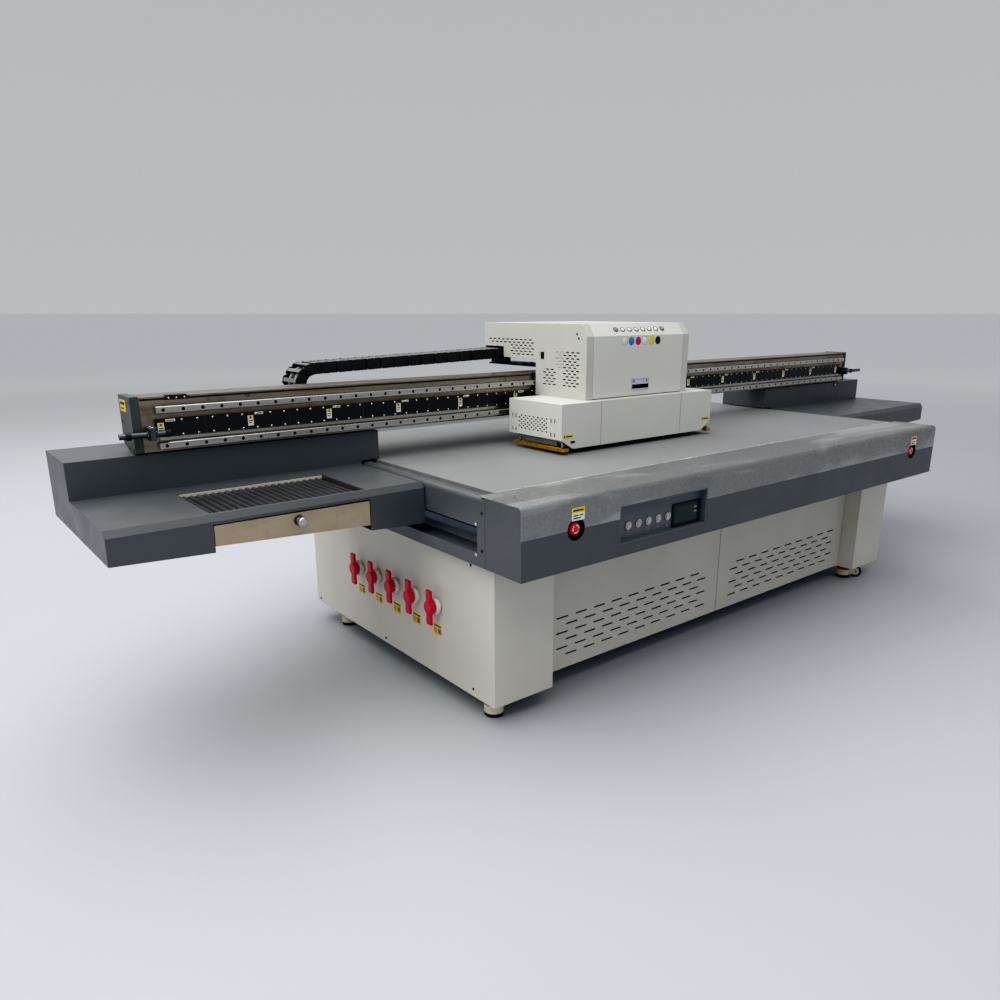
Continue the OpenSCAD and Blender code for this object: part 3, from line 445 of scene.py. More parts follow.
class Shape:
    """Collects solids made from points and faces, each with its own finish."""

    def __init__(self, name):
        self.name = name
        self.finishes = []
        self.points = []
        self.faces = []
        self.index = []
        self.at = HOME

    def put(self, points, faces, finish):
        if finish not in self.finishes:
            self.finishes.append(finish)
        start = len(self.points)
        self.points += [self.at @ Vector(p) for p in points]
        self.faces += [[start + i for i in face] for face in faces]
        self.index += [self.finishes.index(finish)] * len(faces)

    def box(self, x, y, z, finish, chamfer=0.0):
        spans = (x, y, z)
        points, number = [], {}
        for corner in product((0, 1), repeat=3):
            for axis in range(3):
                point = []
                for k, side in enumerate(corner):
                    inset = 0 if k == axis else chamfer
                    point.append(spans[k][side] + (inset if side == 0 else -inset))
                number[(*corner, axis)] = len(points)
                points.append(point)
        ring = ((0, 0), (1, 0), (1, 1), (0, 1))
        faces = [[number[corner_key(axis, side, a, b, axis)] for a, b in ring]
                 for axis in range(3) for side in (0, 1)]
        if chamfer:
            for axis in range(3):
                others = [k for k in range(3) if k != axis]
                for a, b in ring:
                    edge = []
                    for end, pair in ((0, others), (1, others[::-1])):
                        edge += [number[corner_key(axis, end, a, b, k)] for k in pair]
                    faces.append(edge)
            for corner in product((0, 1), repeat=3):
                faces.append([number[(*corner, axis)] for axis in range(3)])
        self.put(points, faces, finish)

    def lathe(self, profile, base, axis, finish, sides=24):
        """Turns (radius, height) points round an axis that starts at base."""
        turn = Vector((0, 0, 1)).rotation_difference(Vector(axis)).to_matrix()
        points, faces = [], []
        for radius, height in profile:
            for i in range(sides):
                angle = 2 * math.pi * i / sides
                local = Vector((radius * math.cos(angle), radius * math.sin(angle), height))
                points.append(Vector(base) + turn @ local)
        for k in range(len(profile) - 1):
            for i in range(sides):
                j = (i + 1) % sides
                faces.append([k * sides + i, k * sides + j, (k + 1) * sides + j, (k + 1) * sides + i])
        last = (len(profile) - 1) * sides
        if profile[0] != profile[-1]:
            faces.append(list(range(sides))[::-1])
            faces.append([last + i for i in range(sides)])
        self.put(points, faces, finish)

    def rod(self, start, end, radius, finish, sides=24, chamfer=0.0):
        span = Vector(end) - Vector(start)
        c = chamfer
        profile = [(radius - c, 0), (radius, c), (radius, span.length - c), (radius - c, span.length)]
        if not c:
            profile = [(radius, 0), (radius, span.length)]
        self.lathe(profile, start, span.normalized(), finish, sides)

    def ring(self, centre, axis, inner, outer, thick, finish, sides=32):
        """A flat collar with rounded rims."""
        c = min(thick, outer - inner) * 0.25
        profile = [(inner, 0), (outer - c, 0), (outer, c), (outer, thick - c), (outer - c, thick),
                   (inner, thick), (inner, 0)]
        self.lathe(profile, centre, axis, finish, sides)

    def prism(self, outline, axis, span, finish):
        """Extrudes a 2-D outline, given in the other two axes, along X, Y or Z."""
        others = [k for k in range(3) if k != "xyz".index(axis)]
        points = []
        for value in span:
            for a, b in outline:
                point = [value] * 3
                point[others[0]], point[others[1]] = a, b
                points.append(point)
        n = len(outline)
        faces = [list(range(n))[::-1], [n + i for i in range(n)]]
        faces += [[i, (i + 1) % n, n + (i + 1) % n, n + i] for i in range(n)]
        self.put(points, faces, finish)

    def tube(self, path, radius, finish, sides=10):
        """A round tube along a path of points."""
        path = [Vector(p) for p in path]
        points, faces = [], []
        side = None
        for i, centre in enumerate(path):
            ahead = (path[min(i + 1, len(path) - 1)] - path[max(i - 1, 0)]).normalized()
            if side is None:
                side = ahead.orthogonal().normalized()
            side = (side - ahead * side.dot(ahead)).normalized()
            up = ahead.cross(side)
            for k in range(sides):
                angle = 2 * math.pi * k / sides
                points.append(centre + radius * (side * math.cos(angle) + up * math.sin(angle)))
        for i in range(len(path) - 1):
            for k in range(sides):
                j = (k + 1) % sides
                faces.append([i * sides + k, i * sides + j, (i + 1) * sides + j, (i + 1) * sides + k])
        last = (len(path) - 1) * sides
        faces.append(list(range(sides))[::-1])
        faces.append([last + k for k in range(sides)])
        self.put(points, faces, finish)

    def make(self):
        mesh = bpy.data.meshes.new(self.name)
        mesh.from_pydata(self.points, [], self.faces)
        for finish in self.finishes:
            mesh.materials.append(FINISH[finish])
        mesh.polygons.foreach_set("material_index", self.index)
        work = bmesh.new()
        work.from_mesh(mesh)
        bmesh.ops.remove_doubles(work, verts=work.verts, dist=1e-7)
        bmesh.ops.dissolve_degenerate(work, edges=work.edges, dist=1e-7)
        bmesh.ops.recalc_face_normals(work, faces=work.faces)
        work.to_mesh(mesh)
        work.free()
        mesh.shade_smooth()
        mesh.set_sharp_from_angle(angle=SHARP)
        piece = bpy.data.objects.new(self.name, mesh)
        bpy.context.scene.collection.objects.link(piece)
        return piece

    def done(self, body, slot, *replaced):
        piece = self.make()
        if replaced:
            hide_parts(*replaced)
        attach(piece, body)
        return piece


def corner_key(axis, side, a, b, kind):
    """The corner on one side of an axis, and at a and b on the other two."""
    key = [a, b]
    key.insert(axis, side)
    return (*key, kind)


def spans(node):
    """A CAD node's box as three (low, high) pairs."""
    low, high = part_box(node)
    return [(low[k], high[k]) for k in range(3)]


def middle(span):
    return (span[0] + span[1]) / 2


def about(centre, half):
    return (centre - half, centre + half)


def beyond(face, sign, near, far):
    """The span from near to far off a face, to the side that sign gives."""
    return sorted((face + sign * near, face + sign * far))


def steps(first, limit, pitch):
    """Values a pitch apart, from first to below the limit."""
    while first < limit:
        yield first
        first += pitch


def facing(origin, right, up):
    """Places a flat thing: its own X to the right, Y up and Z out of the face."""
    right, up = Vector(right).normalized(), Vector(up).normalized()
    out = right.cross(up)
    turn = Matrix((right, up, out)).transposed().to_4x4()
    return Matrix.Translation(Vector(origin)) @ turn


def screw(shape, place, radius, head, recess, sides=16):
    """A domed screw head with a socket."""
    shape.at = place
    tall = radius * 0.55
    shape.lathe([(radius, 0), (radius, tall * 0.4), (radius * 0.8, tall * 0.85),
                 (radius * 0.55, tall)], *OUT, head, sides)
    shape.lathe([(radius * 0.5, tall * 0.98), (radius * 0.5, tall * 1.03)], *OUT, recess, 6)
    shape.at = HOME


def screws(shape, points, turn, *look):
    """The same screw at every point, on faces that look the same way."""
    for point in points:
        screw(shape, facing(point, *turn), *look)


def label(shape, place, size, base, marks):
    """A thin label, centred at place, with plain coloured bars given as shares of its size."""
    w, h = size
    shape.at = place
    shape.box((-w / 2, w / 2), (-h / 2, h / 2), (0, SKIN), base, SKIN / 4)
    for x0, y0, x1, y1, finish in marks:
        shape.box(((x0 - 0.5) * w, (x1 - 0.5) * w), ((y0 - 0.5) * h, (y1 - 0.5) * h),
                  (SKIN, SKIN * 1.5), finish)
    shape.at = HOME


# right and up, as facing() takes them, for the faces that look each way
FRONT = ((1, 0, 0), (0, 0, 1))         # towards -Y
LEFT = ((0, -1, 0), (0, 0, 1))         # towards -X
RIGHT = ((0, 1, 0), (0, 0, 1))
BACK = ((-1, 0, 0), (0, 0, 1))
TOP = ((1, 0, 0), (0, 1, 0))
OUT = ((0, 0, 0), (0, 0, 1))           # base and axis of a lathe that stands on shape.at


# ---- Finishes of the CAD nodes

PLAIN = {
    "main_frame": "frame", "table_base": "base", "platen": "platen", "edge_plate": "zinc",
    "front_fascia": "apron", "side_covers": "apron", "cabinet_panels": "cabinet",
    "vacuum_blower": "blower", "suction_pipes": "white_plastic", "electrics_box": "box",
    "panel_display": "black", "switch_bodies": "nickel", "door_left": "door", "door_right": "door",
    "estop_left": "stop_red", "estop_right": "stop_red", "beam": "beam", "beam_end_caps": "cap",
    "x_rails": "rail", "magnet_track": "magnet", "gantry_legs": "leg", "left_wing_cover": "wing",
    "right_wing_cover": "wing", "chain_tray": "tray", "carriage_plate": "slider",
    # the upper cover takes the darker copy of the cover paint, as painted shade
    "head_frame": "plate", "uv_lamps": "lamp", "lower_cover": "cover", "upper_cover": "cover_side",
    "door_latch": "chrome",
}
NUMBERED = {"valve_handle": "red", "panel_button": "nickel", "caster_fork": "ivory",
            "caster_wheel": "wheel"}


def dress(node, base, *regions):
    """Gives a node one finish, and others to the faces that lie wholly inside a region."""
    mesh = NODES[node].data
    mesh.materials.clear()
    for name in (base, *[name for name, _ in regions]):
        mesh.materials.append(FINISH[name])
    for face in mesh.polygons:
        face.material_index = 0
        corners = [mesh.vertices[i].co for i in face.vertices]
        for number, (_, region) in enumerate(regions, 1):
            if all(low <= corner["xyz".index(axis)] <= high
                   for axis, (low, high) in region.items() for corner in corners):
                face.material_index = number


def dress_all():
    for node, finish in PLAIN.items():
        dress(node, finish)
    for node in NODES:
        family = node.rstrip("0123456789").rstrip("_")
        if family in NUMBERED:
            dress(node, NUMBERED[family])
    dress("y_rails", "dark_steel", ("magnet", {"z": (0.704, 0.746)}))
    dress("levelling_feet", "nickel", ("rubber", {"z": (-0.001, 0.011)}),
          ("dial_red", {"z": (0.0455, 0.0575)}))
    dress("print_heads", "black", ("white_plastic", {"z": (0.965, 1.087)}))
    dress("catch_mat", "pan", ("mat", {"x": (-2.0035, -1.5265), "y": (-0.2965, -0.0095)}))
    dress("drawer", "drawer", ("nickel", {"y": (-0.4, -0.3235)}))
    dress("rear_panel", "cabinet", ("black", {"x": (0.8595, 0.9405), "z": (0.2675, 0.3425)}))
    dress("end_stops", "dark_steel", ("rubber", {"x": (-2.001, -1.983)}), ("rubber", {"x": (1.995, 2.013)}))
    dress("control_panel", "panel", ("black", {"x": (-1.13, -1.056)}), ("black", {"x": (1.05, 1.123)}))
    # the latch pan: a chrome frame, and inside it the recess painted black as painted shade under the flap
    frame_x, frame_z = (-0.2325, -0.1215), (1.0135, 1.0625)
    dress("service_door", "brow", ("chrome", {"x": frame_x, "z": frame_z}),
          ("black", {"x": (-0.2275, -0.1265), "z": (1.0185, 1.0575)}))


# ---- Drag chain

CHAIN = spans("cable_chain")
CHAIN_TALL = 0.042
CHAIN_SAG = 0.028                      # drop of the upper run between the carriage and the bend
LINK = 0.032
UP_Z = CHAIN[2][1] - CHAIN_TALL / 2    # middle line of the upper run, at the carriage
BEND_R = (CHAIN[2][1] - CHAIN_SAG - CHAIN[2][0] - CHAIN_TALL) / 2
BEND_X = CHAIN[0][0] + BEND_R + CHAIN_TALL / 2
UP_END = -0.493                        # where each run ends: at the carriage and on the beam
LOW_END = -0.306
ANYWHERE = 100                         # ends of a blend this far off leave the bend at its middle
UP_LONG = UP_END - BEND_X
BEND_LONG = math.pi * BEND_R
CHAIN_LONG = UP_LONG + BEND_LONG + LOW_END - BEND_X


def chain_place(distance):
    """Place on the chain's middle line: X runs along it, Z points out of the bend."""
    bend_top = UP_Z - CHAIN_SAG
    if distance < UP_LONG:
        drop = CHAIN_SAG * distance / UP_LONG
        origin, ahead = (UP_END - distance, 0, UP_Z - drop), (-UP_LONG, 0, -CHAIN_SAG)
    elif distance < UP_LONG + BEND_LONG:
        angle = (distance - UP_LONG) / BEND_R
        origin = (BEND_X - BEND_R * math.sin(angle), 0, bend_top - BEND_R * (1 - math.cos(angle)))
        ahead = (-math.cos(angle), 0, -math.sin(angle))
    else:
        origin = (BEND_X + distance - UP_LONG - BEND_LONG, 0, bend_top - 2 * BEND_R)
        ahead = (1, 0, 0)
    ahead = Vector(ahead).normalized()
    side = Vector((0, -1, 0))
    turn = Matrix((ahead, side, ahead.cross(side))).transposed().to_4x4()
    return Matrix.Translation(Vector(origin)) @ turn


def chain_link(shape, number, count):
    """Two side plates with a hinge boss, bars over and under them, and two dividers."""
    long = CHAIN_LONG / count
    shape.at = chain_place((number + 0.5) * long)
    half, tall = long / 2 + 0.004, CHAIN_TALL / 2
    outline = [(-half, -tall * 0.5), (-half + 0.007, -tall), (half - 0.007, -tall), (half, -tall * 0.5),
               (half, tall * 0.5), (half - 0.007, tall), (-half + 0.007, tall), (-half, tall * 0.5)]
    step = 0.0036 if number % 2 else 0.0
    near, far = -CHAIN[1][1], -CHAIN[1][0]
    for outer, inward in ((near, 1), (far, -1)):
        face = outer + inward * step
        shape.prism(outline, "y", beyond(face, inward, 0, 0.003), "chain")
        shape.rod((half - 0.009, face + inward * 0.0015, 0), (half - 0.009, outer + inward * 0.0003, 0),
                  0.006, "chain", 16)
    for low, high in ((-tall, -tall + 0.004), (tall - 0.004, tall)):
        shape.box((-0.0075, 0.0075), (near + 0.007, far - 0.007), (low, high), "bar", 0.0012)
    for across in (0.33, 0.67):
        y = near + (far - near) * across
        shape.box((-0.007, 0.007), about(y, 0.0012), (-tall + 0.004, tall - 0.004), "chain")
    shape.at = HOME


def chain_piece(name, first, last, count):
    shape = Shape(name)
    for number in range(first, last):
        chain_link(shape, number, count)
    long = CHAIN_LONG / count
    steps = (last - first) * 2
    for across, radius, finish in ((0.318, 0.010, "cable_black"), (0.341, 0.008, "cable_grey"),
                                   (0.362, 0.011, "cable_black"), (0.386, 0.008, "cable_grey")):
        path = [chain_place(first * long + (last - first) * long * k / steps) @ Vector((0, -across, 0))
                for k in range(steps + 1)]
        shape.tube(path, radius, finish, 10)
    piece = shape.make()
    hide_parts("cable_chain")
    return piece


def add_chain():
    count = round(CHAIN_LONG / LINK)
    bend_first = round(UP_LONG / CHAIN_LONG * count)
    bend_last = round((UP_LONG + BEND_LONG) / CHAIN_LONG * count)
    upper = chain_piece("chain_upper", 0, bend_first, count)
    bend = chain_piece("chain_bend", bend_first, bend_last, count)
    lower = chain_piece("chain_lower", bend_last, count, count)
    # the bend travels half as far as the slider, and each run would stretch to meet it; here each piece only
    # has its transform baked, and the ends listed are not used
    for piece, start, end in ((upper, 2 * BEND_X - UP_END, UP_END),
                              (bend, BEND_X - ANYWHERE, BEND_X + ANYWHERE),
                              (lower, LOW_END, 2 * BEND_X - LOW_END)):
        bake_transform(piece)


# ---- Carriage

COVER_LEFT, COVER_RIGHT = spans("upper_cover")[0]
DOOR_FACE = -0.234
LOWER = spans("lower_cover")
BROW_LOW = Vector((0, DOOR_FACE, 1.233))
BROW_HIGH = Vector((0, -0.199, 1.280))


def add_brow_lamps():
    """Eight oval lamps in the sloping brow over the door."""
    shape = Shape("brow_lamps")
    slope = BROW_HIGH - BROW_LOW
    first, pitch = -0.316, 0.040
    for i in range(8):
        origin = BROW_LOW + slope * 0.5 + Vector((first + pitch * i, 0, 0))
        place = facing(origin, (1, 0, 0), slope)
        shape.at = place @ Matrix.Diagonal((1, 0.78, 1, 1))
        shape.ring(*OUT, 0.0105, 0.0135, 0.0016, "black", 28)
        shape.lathe([(0.0108, 0), (0.0106, 0.001), (0.0085, 0.0026), (0.0045, 0.0036), (0.0008, 0.0039)],
                    *OUT, "lens_grey" if i in (0, 7) else "lens", 28)
    shape.done("service_door", "screen")


def add_ink_dots():
    """Six coloured dots that name the ink channels, each with a thin grey rim."""
    inks = ("label_white", "cyan", "magenta", "label_white", "dot_yellow", "black")
    first, pitch, z, radius = -0.279, 0.0404, 1.211, 0.0160
    shape = Shape("ink_dots")
    for i, ink in enumerate(inks):
        centre = (first + pitch * i, DOOR_FACE, z)
        shape.lathe([(radius, 0), (radius, 0.0004), (0.0157, 0.0006)], centre, (0, -1, 0), ink, 36)
        shape.ring(centre, (0, -1, 0), radius, 0.0170, 0.0004, "cover_shadow", 36)
    shape.done("service_door", "panel_plastic")


def add_cover_fittings():
    """Screws, rocker switch, status lamps and blanked louvres on the upper cover."""
    shape = Shape("cover_fittings")
    for x, turn in ((COVER_LEFT, LEFT), (COVER_RIGHT, RIGHT)):
        screws(shape, ((x, -0.177, 1.242), (x, -0.188, 1.225)), turn, 0.0042, "black", "black")
        for row in range(6):
            for y in ((-0.065, -0.095) if row % 2 == 0 else (-0.079,)):
                shape.at = facing((x, y, 1.1695 - 0.012 * row), *turn)
                shape.box((-0.009, 0.009), (-0.0025, 0.0025), (0, 0.0004), "cover_shadow", 0.00015)
    shape.at = facing((COVER_LEFT, 0.025, 1.152), *LEFT)
    shape.box((-0.010, 0.010), (-0.014, 0.014), (0, 0.002), "black", 0.0008)
    shape.prism([(-0.011, 0.002), (0.0, 0.0032), (0.011, 0.0058), (0.011, 0.002)], "x", (-0.007, 0.007),
                "black")
    for i in range(5):
        shape.at = facing((COVER_LEFT, -0.014, 1.136 + 0.0085 * i), *LEFT)
        shape.lathe([(0.0022, 0), (0.0020, 0.0012), (0.0008, 0.002)], *OUT, "lens", 12)
    shape.done("carriage", "cover_paint")


def add_lower_cover_trim():
    """Panel joints, two blank labels and a small slot on the lower cover."""
    shape = Shape("lower_cover_trim")
    front = LOWER[1][0]
    for x in (-0.447, 0.040):
        shape.box(about(x, 0.0006), (front - 0.0003, front + 0.001), (0.816, LOWER[2][1] - 0.001),
                  "black")
    for x, z in ((-0.625, 0.8645), (0.2175, 0.8645)):
        label(shape, facing((x, front, z), *FRONT), (0.052, 0.0145), "yellow",
              [(0.06, 0.25, 0.2, 0.75, "label_dark"), (0.28, 0.3, 0.9, 0.68, "label_dark")])
    shape.box((-0.612, -0.590), (front - 0.002, front + 0.001), (0.8365, 0.8455), "black", 0.0006)
    shape.done("carriage", "cover_paint")


def add_crash_bar(side, sign):
    """Brass bar with a scalloped inner edge, on two sprung posts with lock nuts."""
    node = "crash_bar_" + side
    (x0, x1), (y0, y1), (z0, z1) = spans(node)
    outer, inner = (x0, x1) if sign < 0 else (x1, x0)
    top = z0 + 0.012
    post_x, post_ys = outer - sign * 0.014, (-0.270, -0.018)
    notches, notch_r = 7, 0.011
    pitch = (y1 - y0 - 0.02) / notches
    outline = [(outer, y1), (outer, y0 + 0.008), (outer - sign * 0.006, y0), (inner, y0)]
    for k in range(notches):
        centre = y0 + 0.01 + pitch * (k + 0.5)
        for step in range(9):
            angle = math.pi * step / 8
            outline.append((inner + sign * notch_r * math.sin(angle), centre - notch_r * math.cos(angle)))
    outline.append((inner, y1))
    shape = Shape(node + "_brass")
    shape.prism(outline, "z", (z0, top), "brass")
    shape.box(beyond(outer, -sign, 0, 0.004), (y0 + 0.012, y1 - 0.004), (top, top + 0.002), "brass",
              0.0006)
    for y in post_ys:
        shape.rod((post_x, y, top), (post_x, y, z1), 0.004, "rail", 20)
        shape.lathe([(0.0072, 0), (0.0078, 0.0008), (0.0078, 0.0042), (0.0072, 0.005)],
                    (post_x, y, top), (0, 0, 1), "dark_steel", 6)
        shape.lathe([(0.008, 0), (0.008, 0.0012), (0.0074, 0.0016)], (post_x, y, z0), (0, 0, -1), "rail", 24)
    screws(shape, [(outer, y0 + 0.03 + (y1 - y0 - 0.06) * k / 4, z0 + 0.006) for k in range(5)],
           LEFT if sign < 0 else RIGHT, 0.0032, "dark_steel", "dark_steel", 12)
    shape.done(node, "brass", node)


def add_louvre_screens():
    """Black mesh screens fixed behind the louvres of both covers and both cabinet doors; their black is also
    painted shade, so the slots read as dark as the shaded insides.
    """
    shape = Shape("louvre_shade_screens")
    behind = (0.0034, 0.0044)          # depths of a screen's two faces
    for x, out in ((COVER_LEFT, 1), (COVER_RIGHT, -1)):
        face = beyond(x, out, *behind)
        shape.box(face, (-0.205, 0.030), (1.020, 1.182), "mesh_black")
        shape.box(face, (0.075, 0.402), (1.182, 1.224), "mesh_black")
        shape.box(face, (0.075, 0.258), (1.139, 1.182), "mesh_black")
    for x, out in ((LOWER[0][0], 1), (LOWER[0][1], -1)):
        shape.box(beyond(x, out, *behind), (-0.250, 0.026), (0.852, 0.940), "mesh_black")
    shape.done("carriage", "head_black")
    # the door screens are black sheets too: painted shade inside the cabinet, seen through the louvres
    for side in ("left", "right"):
        (x0, x1), (y0, _), _ = spans("door_" + side)
        screen = Shape("door_shade_screen_" + side)
        screen.box((x0 + 0.020, x1 - 0.020), (y0 + 0.0024, y0 + 0.0036), (0.100, 0.330), "mesh_black")
        screen.done("door_" + side, "cabinet_paint")


def add_latch_grip():
    """Finger lip under the latch flap, and its two spring clips."""
    (x0, x1), (y0, _), (z0, z1) = spans("door_latch")
    shape = Shape("latch_grip")
    shape.tube([(x0 + 0.006 + (x1 - x0 - 0.012) * k / 8, y0 + 0.0006, z0 + 0.0012) for k in range(9)],
               0.0012, "chrome", 8)
    for x in (x0 + 0.012, x1 - 0.012):
        shape.box(about(x, 0.003), (y0 - 0.0006, y0 + 0.0004), (z1 - 0.012, z1 - 0.003), "black",
                  0.0002)
    shape.done("door_latch", "latch_chrome")


def add_slider_screws():
    """Cap screws on the slider plate, and on its bracket over the beam."""
    shape = Shape("slider_screws")
    plate = product((-0.458, -0.382, 0.017, 0.093), (0.043,), (0.912, 0.943, 1.022, 1.054))
    bracket = product((-0.450, -0.350), (0.110, 0.255), (1.106,))
    for points, turn in ((plate, FRONT), (bracket, TOP)):
        screws(shape, points, turn, 0.006, "dark_steel", "black")
    shape.done("slider", "slider_metal")


def add_lamp_fittings():
    """Cooling fins and quartz windows of the UV lamps."""
    shape = Shape("lamp_fittings")
    (x0, x1), (y0, y1), (z0, z1) = spans("uv_lamps")
    wide, fin_pitch = 0.060, 0.0205
    for low, high in ((x0, x0 + wide), (x1 - wide, x1)):
        for k in range(9):
            y = y0 + 0.012 + fin_pitch * k
            shape.box((low + 0.004, high - 0.004), (y, y + 0.003), (z1, z1 + 0.006), "dark_steel", 0.0006)
        shape.box((low + 0.012, high - 0.012), (y0 + 0.015, y1 - 0.015), (z0 - 0.0015, z0), "lens", 0.0005)
    shape.done("carriage", "lamp_black")


# ---- Gantry

RAILS = spans("x_rails")
TRACK = spans("magnet_track")
BEAM = spans("beam")


def add_rail_screws():
    """Socket screws sunk in both linear rails, and countersunk ones on the magnet track."""
    shape = Shape("rail_screws")
    seat = RAILS[1][0] + 0.0016
    margin, pitch, track_pitch = 0.021, 0.060, 0.048
    count = int((RAILS[0][1] - RAILS[0][0] - 2 * margin) / pitch)
    for z in (0.9275, 1.038):
        for i in range(count + 1):
            x = RAILS[0][0] + margin + pitch * i
            shape.lathe([(0.0052, -0.004), (0.0052, 0), (0.0048, 0.0005), (0.0028, 0.0005),
                         (0.0026, -0.002)], (x, seat, z), (0, -1, 0), "black", 16)
    for z, first in ((1.004, -1.943), (0.959, -1.990)):
        screws(shape, [(x, TRACK[1][0], z) for x in steps(first, TRACK[0][1] - 0.01, track_pitch)],
               FRONT, 0.0034, "bright_screw", "black", 12)
    shape.done("gantry", "rail_steel")


def add_magnet_labels():
    """Blank labels on every magnet plate, and the joints between the plates."""
    shape = Shape("magnet_labels")
    face = TRACK[1][0]
    first, plate_long = -2.007, 0.2825
    for k in range(15):
        x = first + plate_long * k
        if x < TRACK[0][0] + 0.012:
            continue
        label(shape, facing((x, face, 0.9825), *FRONT), (0.019, 0.033), "label_white",
              [(0.06, 0.66, 0.94, 0.96, "yellow"), (0.36, 0.70, 0.64, 0.92, "label_dark"),
               (0.15, 0.44, 0.85, 0.54, "label_dark"), (0.15, 0.26, 0.7, 0.34, "label_dark")])
        if x + 0.044 < TRACK[0][1]:
            label(shape, facing((x + 0.0295, face, 1.005), *FRONT), (0.029, 0.0075), "label_white",
                  [(0.1, 0.3, 0.9, 0.65, "label_dark")])
        joint = x + 0.135
        if joint < TRACK[0][1]:
            shape.box(about(joint, 0.0005), (face - 0.0002, face + 0.001),
                      (TRACK[2][0] + 0.001, TRACK[2][1] - 0.001), "dark_steel")
    shape.done("gantry", "magnet_black")


def add_beam_fittings():
    """Sensor bracket, oval plate, trim and scale strips, screws and a blank label on the beam."""
    shape = Shape("beam_fittings")
    face, top = BEAM[1][0], BEAM[2][1]
    shape.box((-1.986, -1.912), (face - 0.004, face), (top - 0.0115, top), "black", 0.001)
    shape.box((-1.980, -1.918), (face - 0.004, face + 0.022), (top, top + 0.0035), "black", 0.001)
    screws(shape, product((-1.973, -1.949, -1.925), (face - 0.004,), (top - 0.006,)), FRONT, 0.0028,
           "bright_screw", "black", 12)
    shape.at = facing((-1.724, face, 1.064), *FRONT) @ Matrix.Diagonal((1, 0.62, 1, 1))
    shape.ring(*OUT, 0.0035, 0.008, 0.0016, "dark_steel", 24)
    shape.at = HOME
    shape.box((BEAM[0][0] + 0.003, BEAM[0][1] - 0.003), (face - 0.0016, face),
              (top - 0.0105, top - 0.0045), "black", 0.0004)
    # magnetic scale strip that the carriage reads, along the lower front edge
    shape.box((-2.010, 2.010), (face - 0.0012, face), (0.9435, 0.9525), "rail", 0.0003)
    caps = spans("beam_end_caps")[0]
    for x, turn in zip(caps, (LEFT, RIGHT)):
        corners = ((0.096, 1.064), (0.192, 1.000), (0.096, 0.922), (0.146, 0.922))
        screws(shape, [(x, y, z) for y, z in corners], turn, 0.0045, "dark_steel", "black")
    label(shape, facing((caps[0], 0.165, 1.050), *LEFT), (0.064, 0.036), "yellow",
          [(0.1, 0.56, 0.9, 0.82, "label_dark"), (0.1, 0.2, 0.7, 0.32, "label_dark")])
    shape.done("gantry", "beam_steel")


def add_stop_fittings():
    """Clamp plates, collars and screws that hold the two shock absorbers."""
    shape = Shape("stop_fittings")
    y, z = 0.062, 0.968
    for x, out in ((-2.039, -1), (2.039, 1)):
        shape.box(about(x, 0.011), about(y, 0.019), (z + 0.017, z + 0.022), "wing", 0.001)
        screws(shape, [(x, side, z + 0.022) for side in about(y, 0.012)], TOP, 0.0035, "bright_screw",
               "black", 12)
        for near in (0.010, -0.015):
            shape.lathe([(0.0125, 0), (0.0135, 0.001), (0.0135, 0.004), (0.0125, 0.005)],
                        (x + near, y, z), (1, 0, 0), "dark_steel", 6)
        end = x + out * 0.060
        shape.ring((end, y, z), (out, 0, 0), 0.0088, 0.0125, 0.016, "black", 24)
    shape.done("gantry", "bumper_black")


def add_wing_fittings():
    """Screws in the backs of the wing covers, and the catch on the right wing's box."""
    shape = Shape("wing_fittings")
    screws(shape, product((-2.200, -1.700, 1.700, 2.200), (0.369,), (0.850, 0.720)), BACK, 0.0042,
           "black", "black", 12)
    shape.at = facing((1.990, 0.092, 0.887), *FRONT)
    shape.box((-0.015, 0.015), (-0.009, 0.009), (0, 0.003), "dark_steel", 0.001)
    shape.ring((0, 0, 0.003), (0, 0, 1), 0.0025, 0.006, 0.003, "bright_screw", 20)
    shape.done("gantry", "wing_paint")


def add_mat_ribs():
    """Rubber ribs across the catch mat, standing on the mat's ridges."""
    (x0, x1), (y0, y1), (z0, z1) = spans("catch_mat")
    rim = 0.0135                       # width of the pan's flange and wall
    first, pitch = x0 + 0.028, 0.022   # the ridges of the CAD mat
    shape = Shape("mat_ribs")
    # painted highlight: a light strip standing for the lit rear wall of the pan
    shape.box((x0 + rim, x1 - rim), (y1 - 0.0155, y1 - 0.0133), (z1 - 0.010, z1 + 0.0005), "pan_bright")
    for x in steps(first, x1 - rim - 0.008, pitch):
        shape.prism([(x - 0.0078, z0 + 0.006), (x - 0.0056, z0 + 0.0150), (x - 0.0030, z0 + 0.0178),
                     (x + 0.0030, z0 + 0.0178), (x + 0.0056, z0 + 0.0150), (x + 0.0078, z0 + 0.006)],
                    "y", (y0 + rim, y1 - 0.016), "rib")
    shape.done("gantry", "mat_rubber")


def add_knob_ring():
    """Bright collar and turned grooves of the drawer's knob."""
    shape = Shape("knob_ring")
    x, z = -1.756, 0.731
    knob_face, drawer_face = spans("drawer")[1][0] + 0.0005, -0.3232
    shape.ring((x, knob_face, z), (0, -1, 0), 0.004, 0.0075, 0.0008, "nickel")
    shape.ring((x, drawer_face, z), (0, -1, 0), 0.0092, 0.0165, 0.0012, "dark_steel")
    shape.done("drawer", "drawer_steel")


# ---- Table and cabinet

CABINET = spans("cabinet_panels")
VALVE_YS = [middle(spans("valve_handle_%d" % (i + 1))[1]) for i in range(5)]
STOP_XS = [middle(spans("estop_" + side)[0]) for side in ("left", "right")]


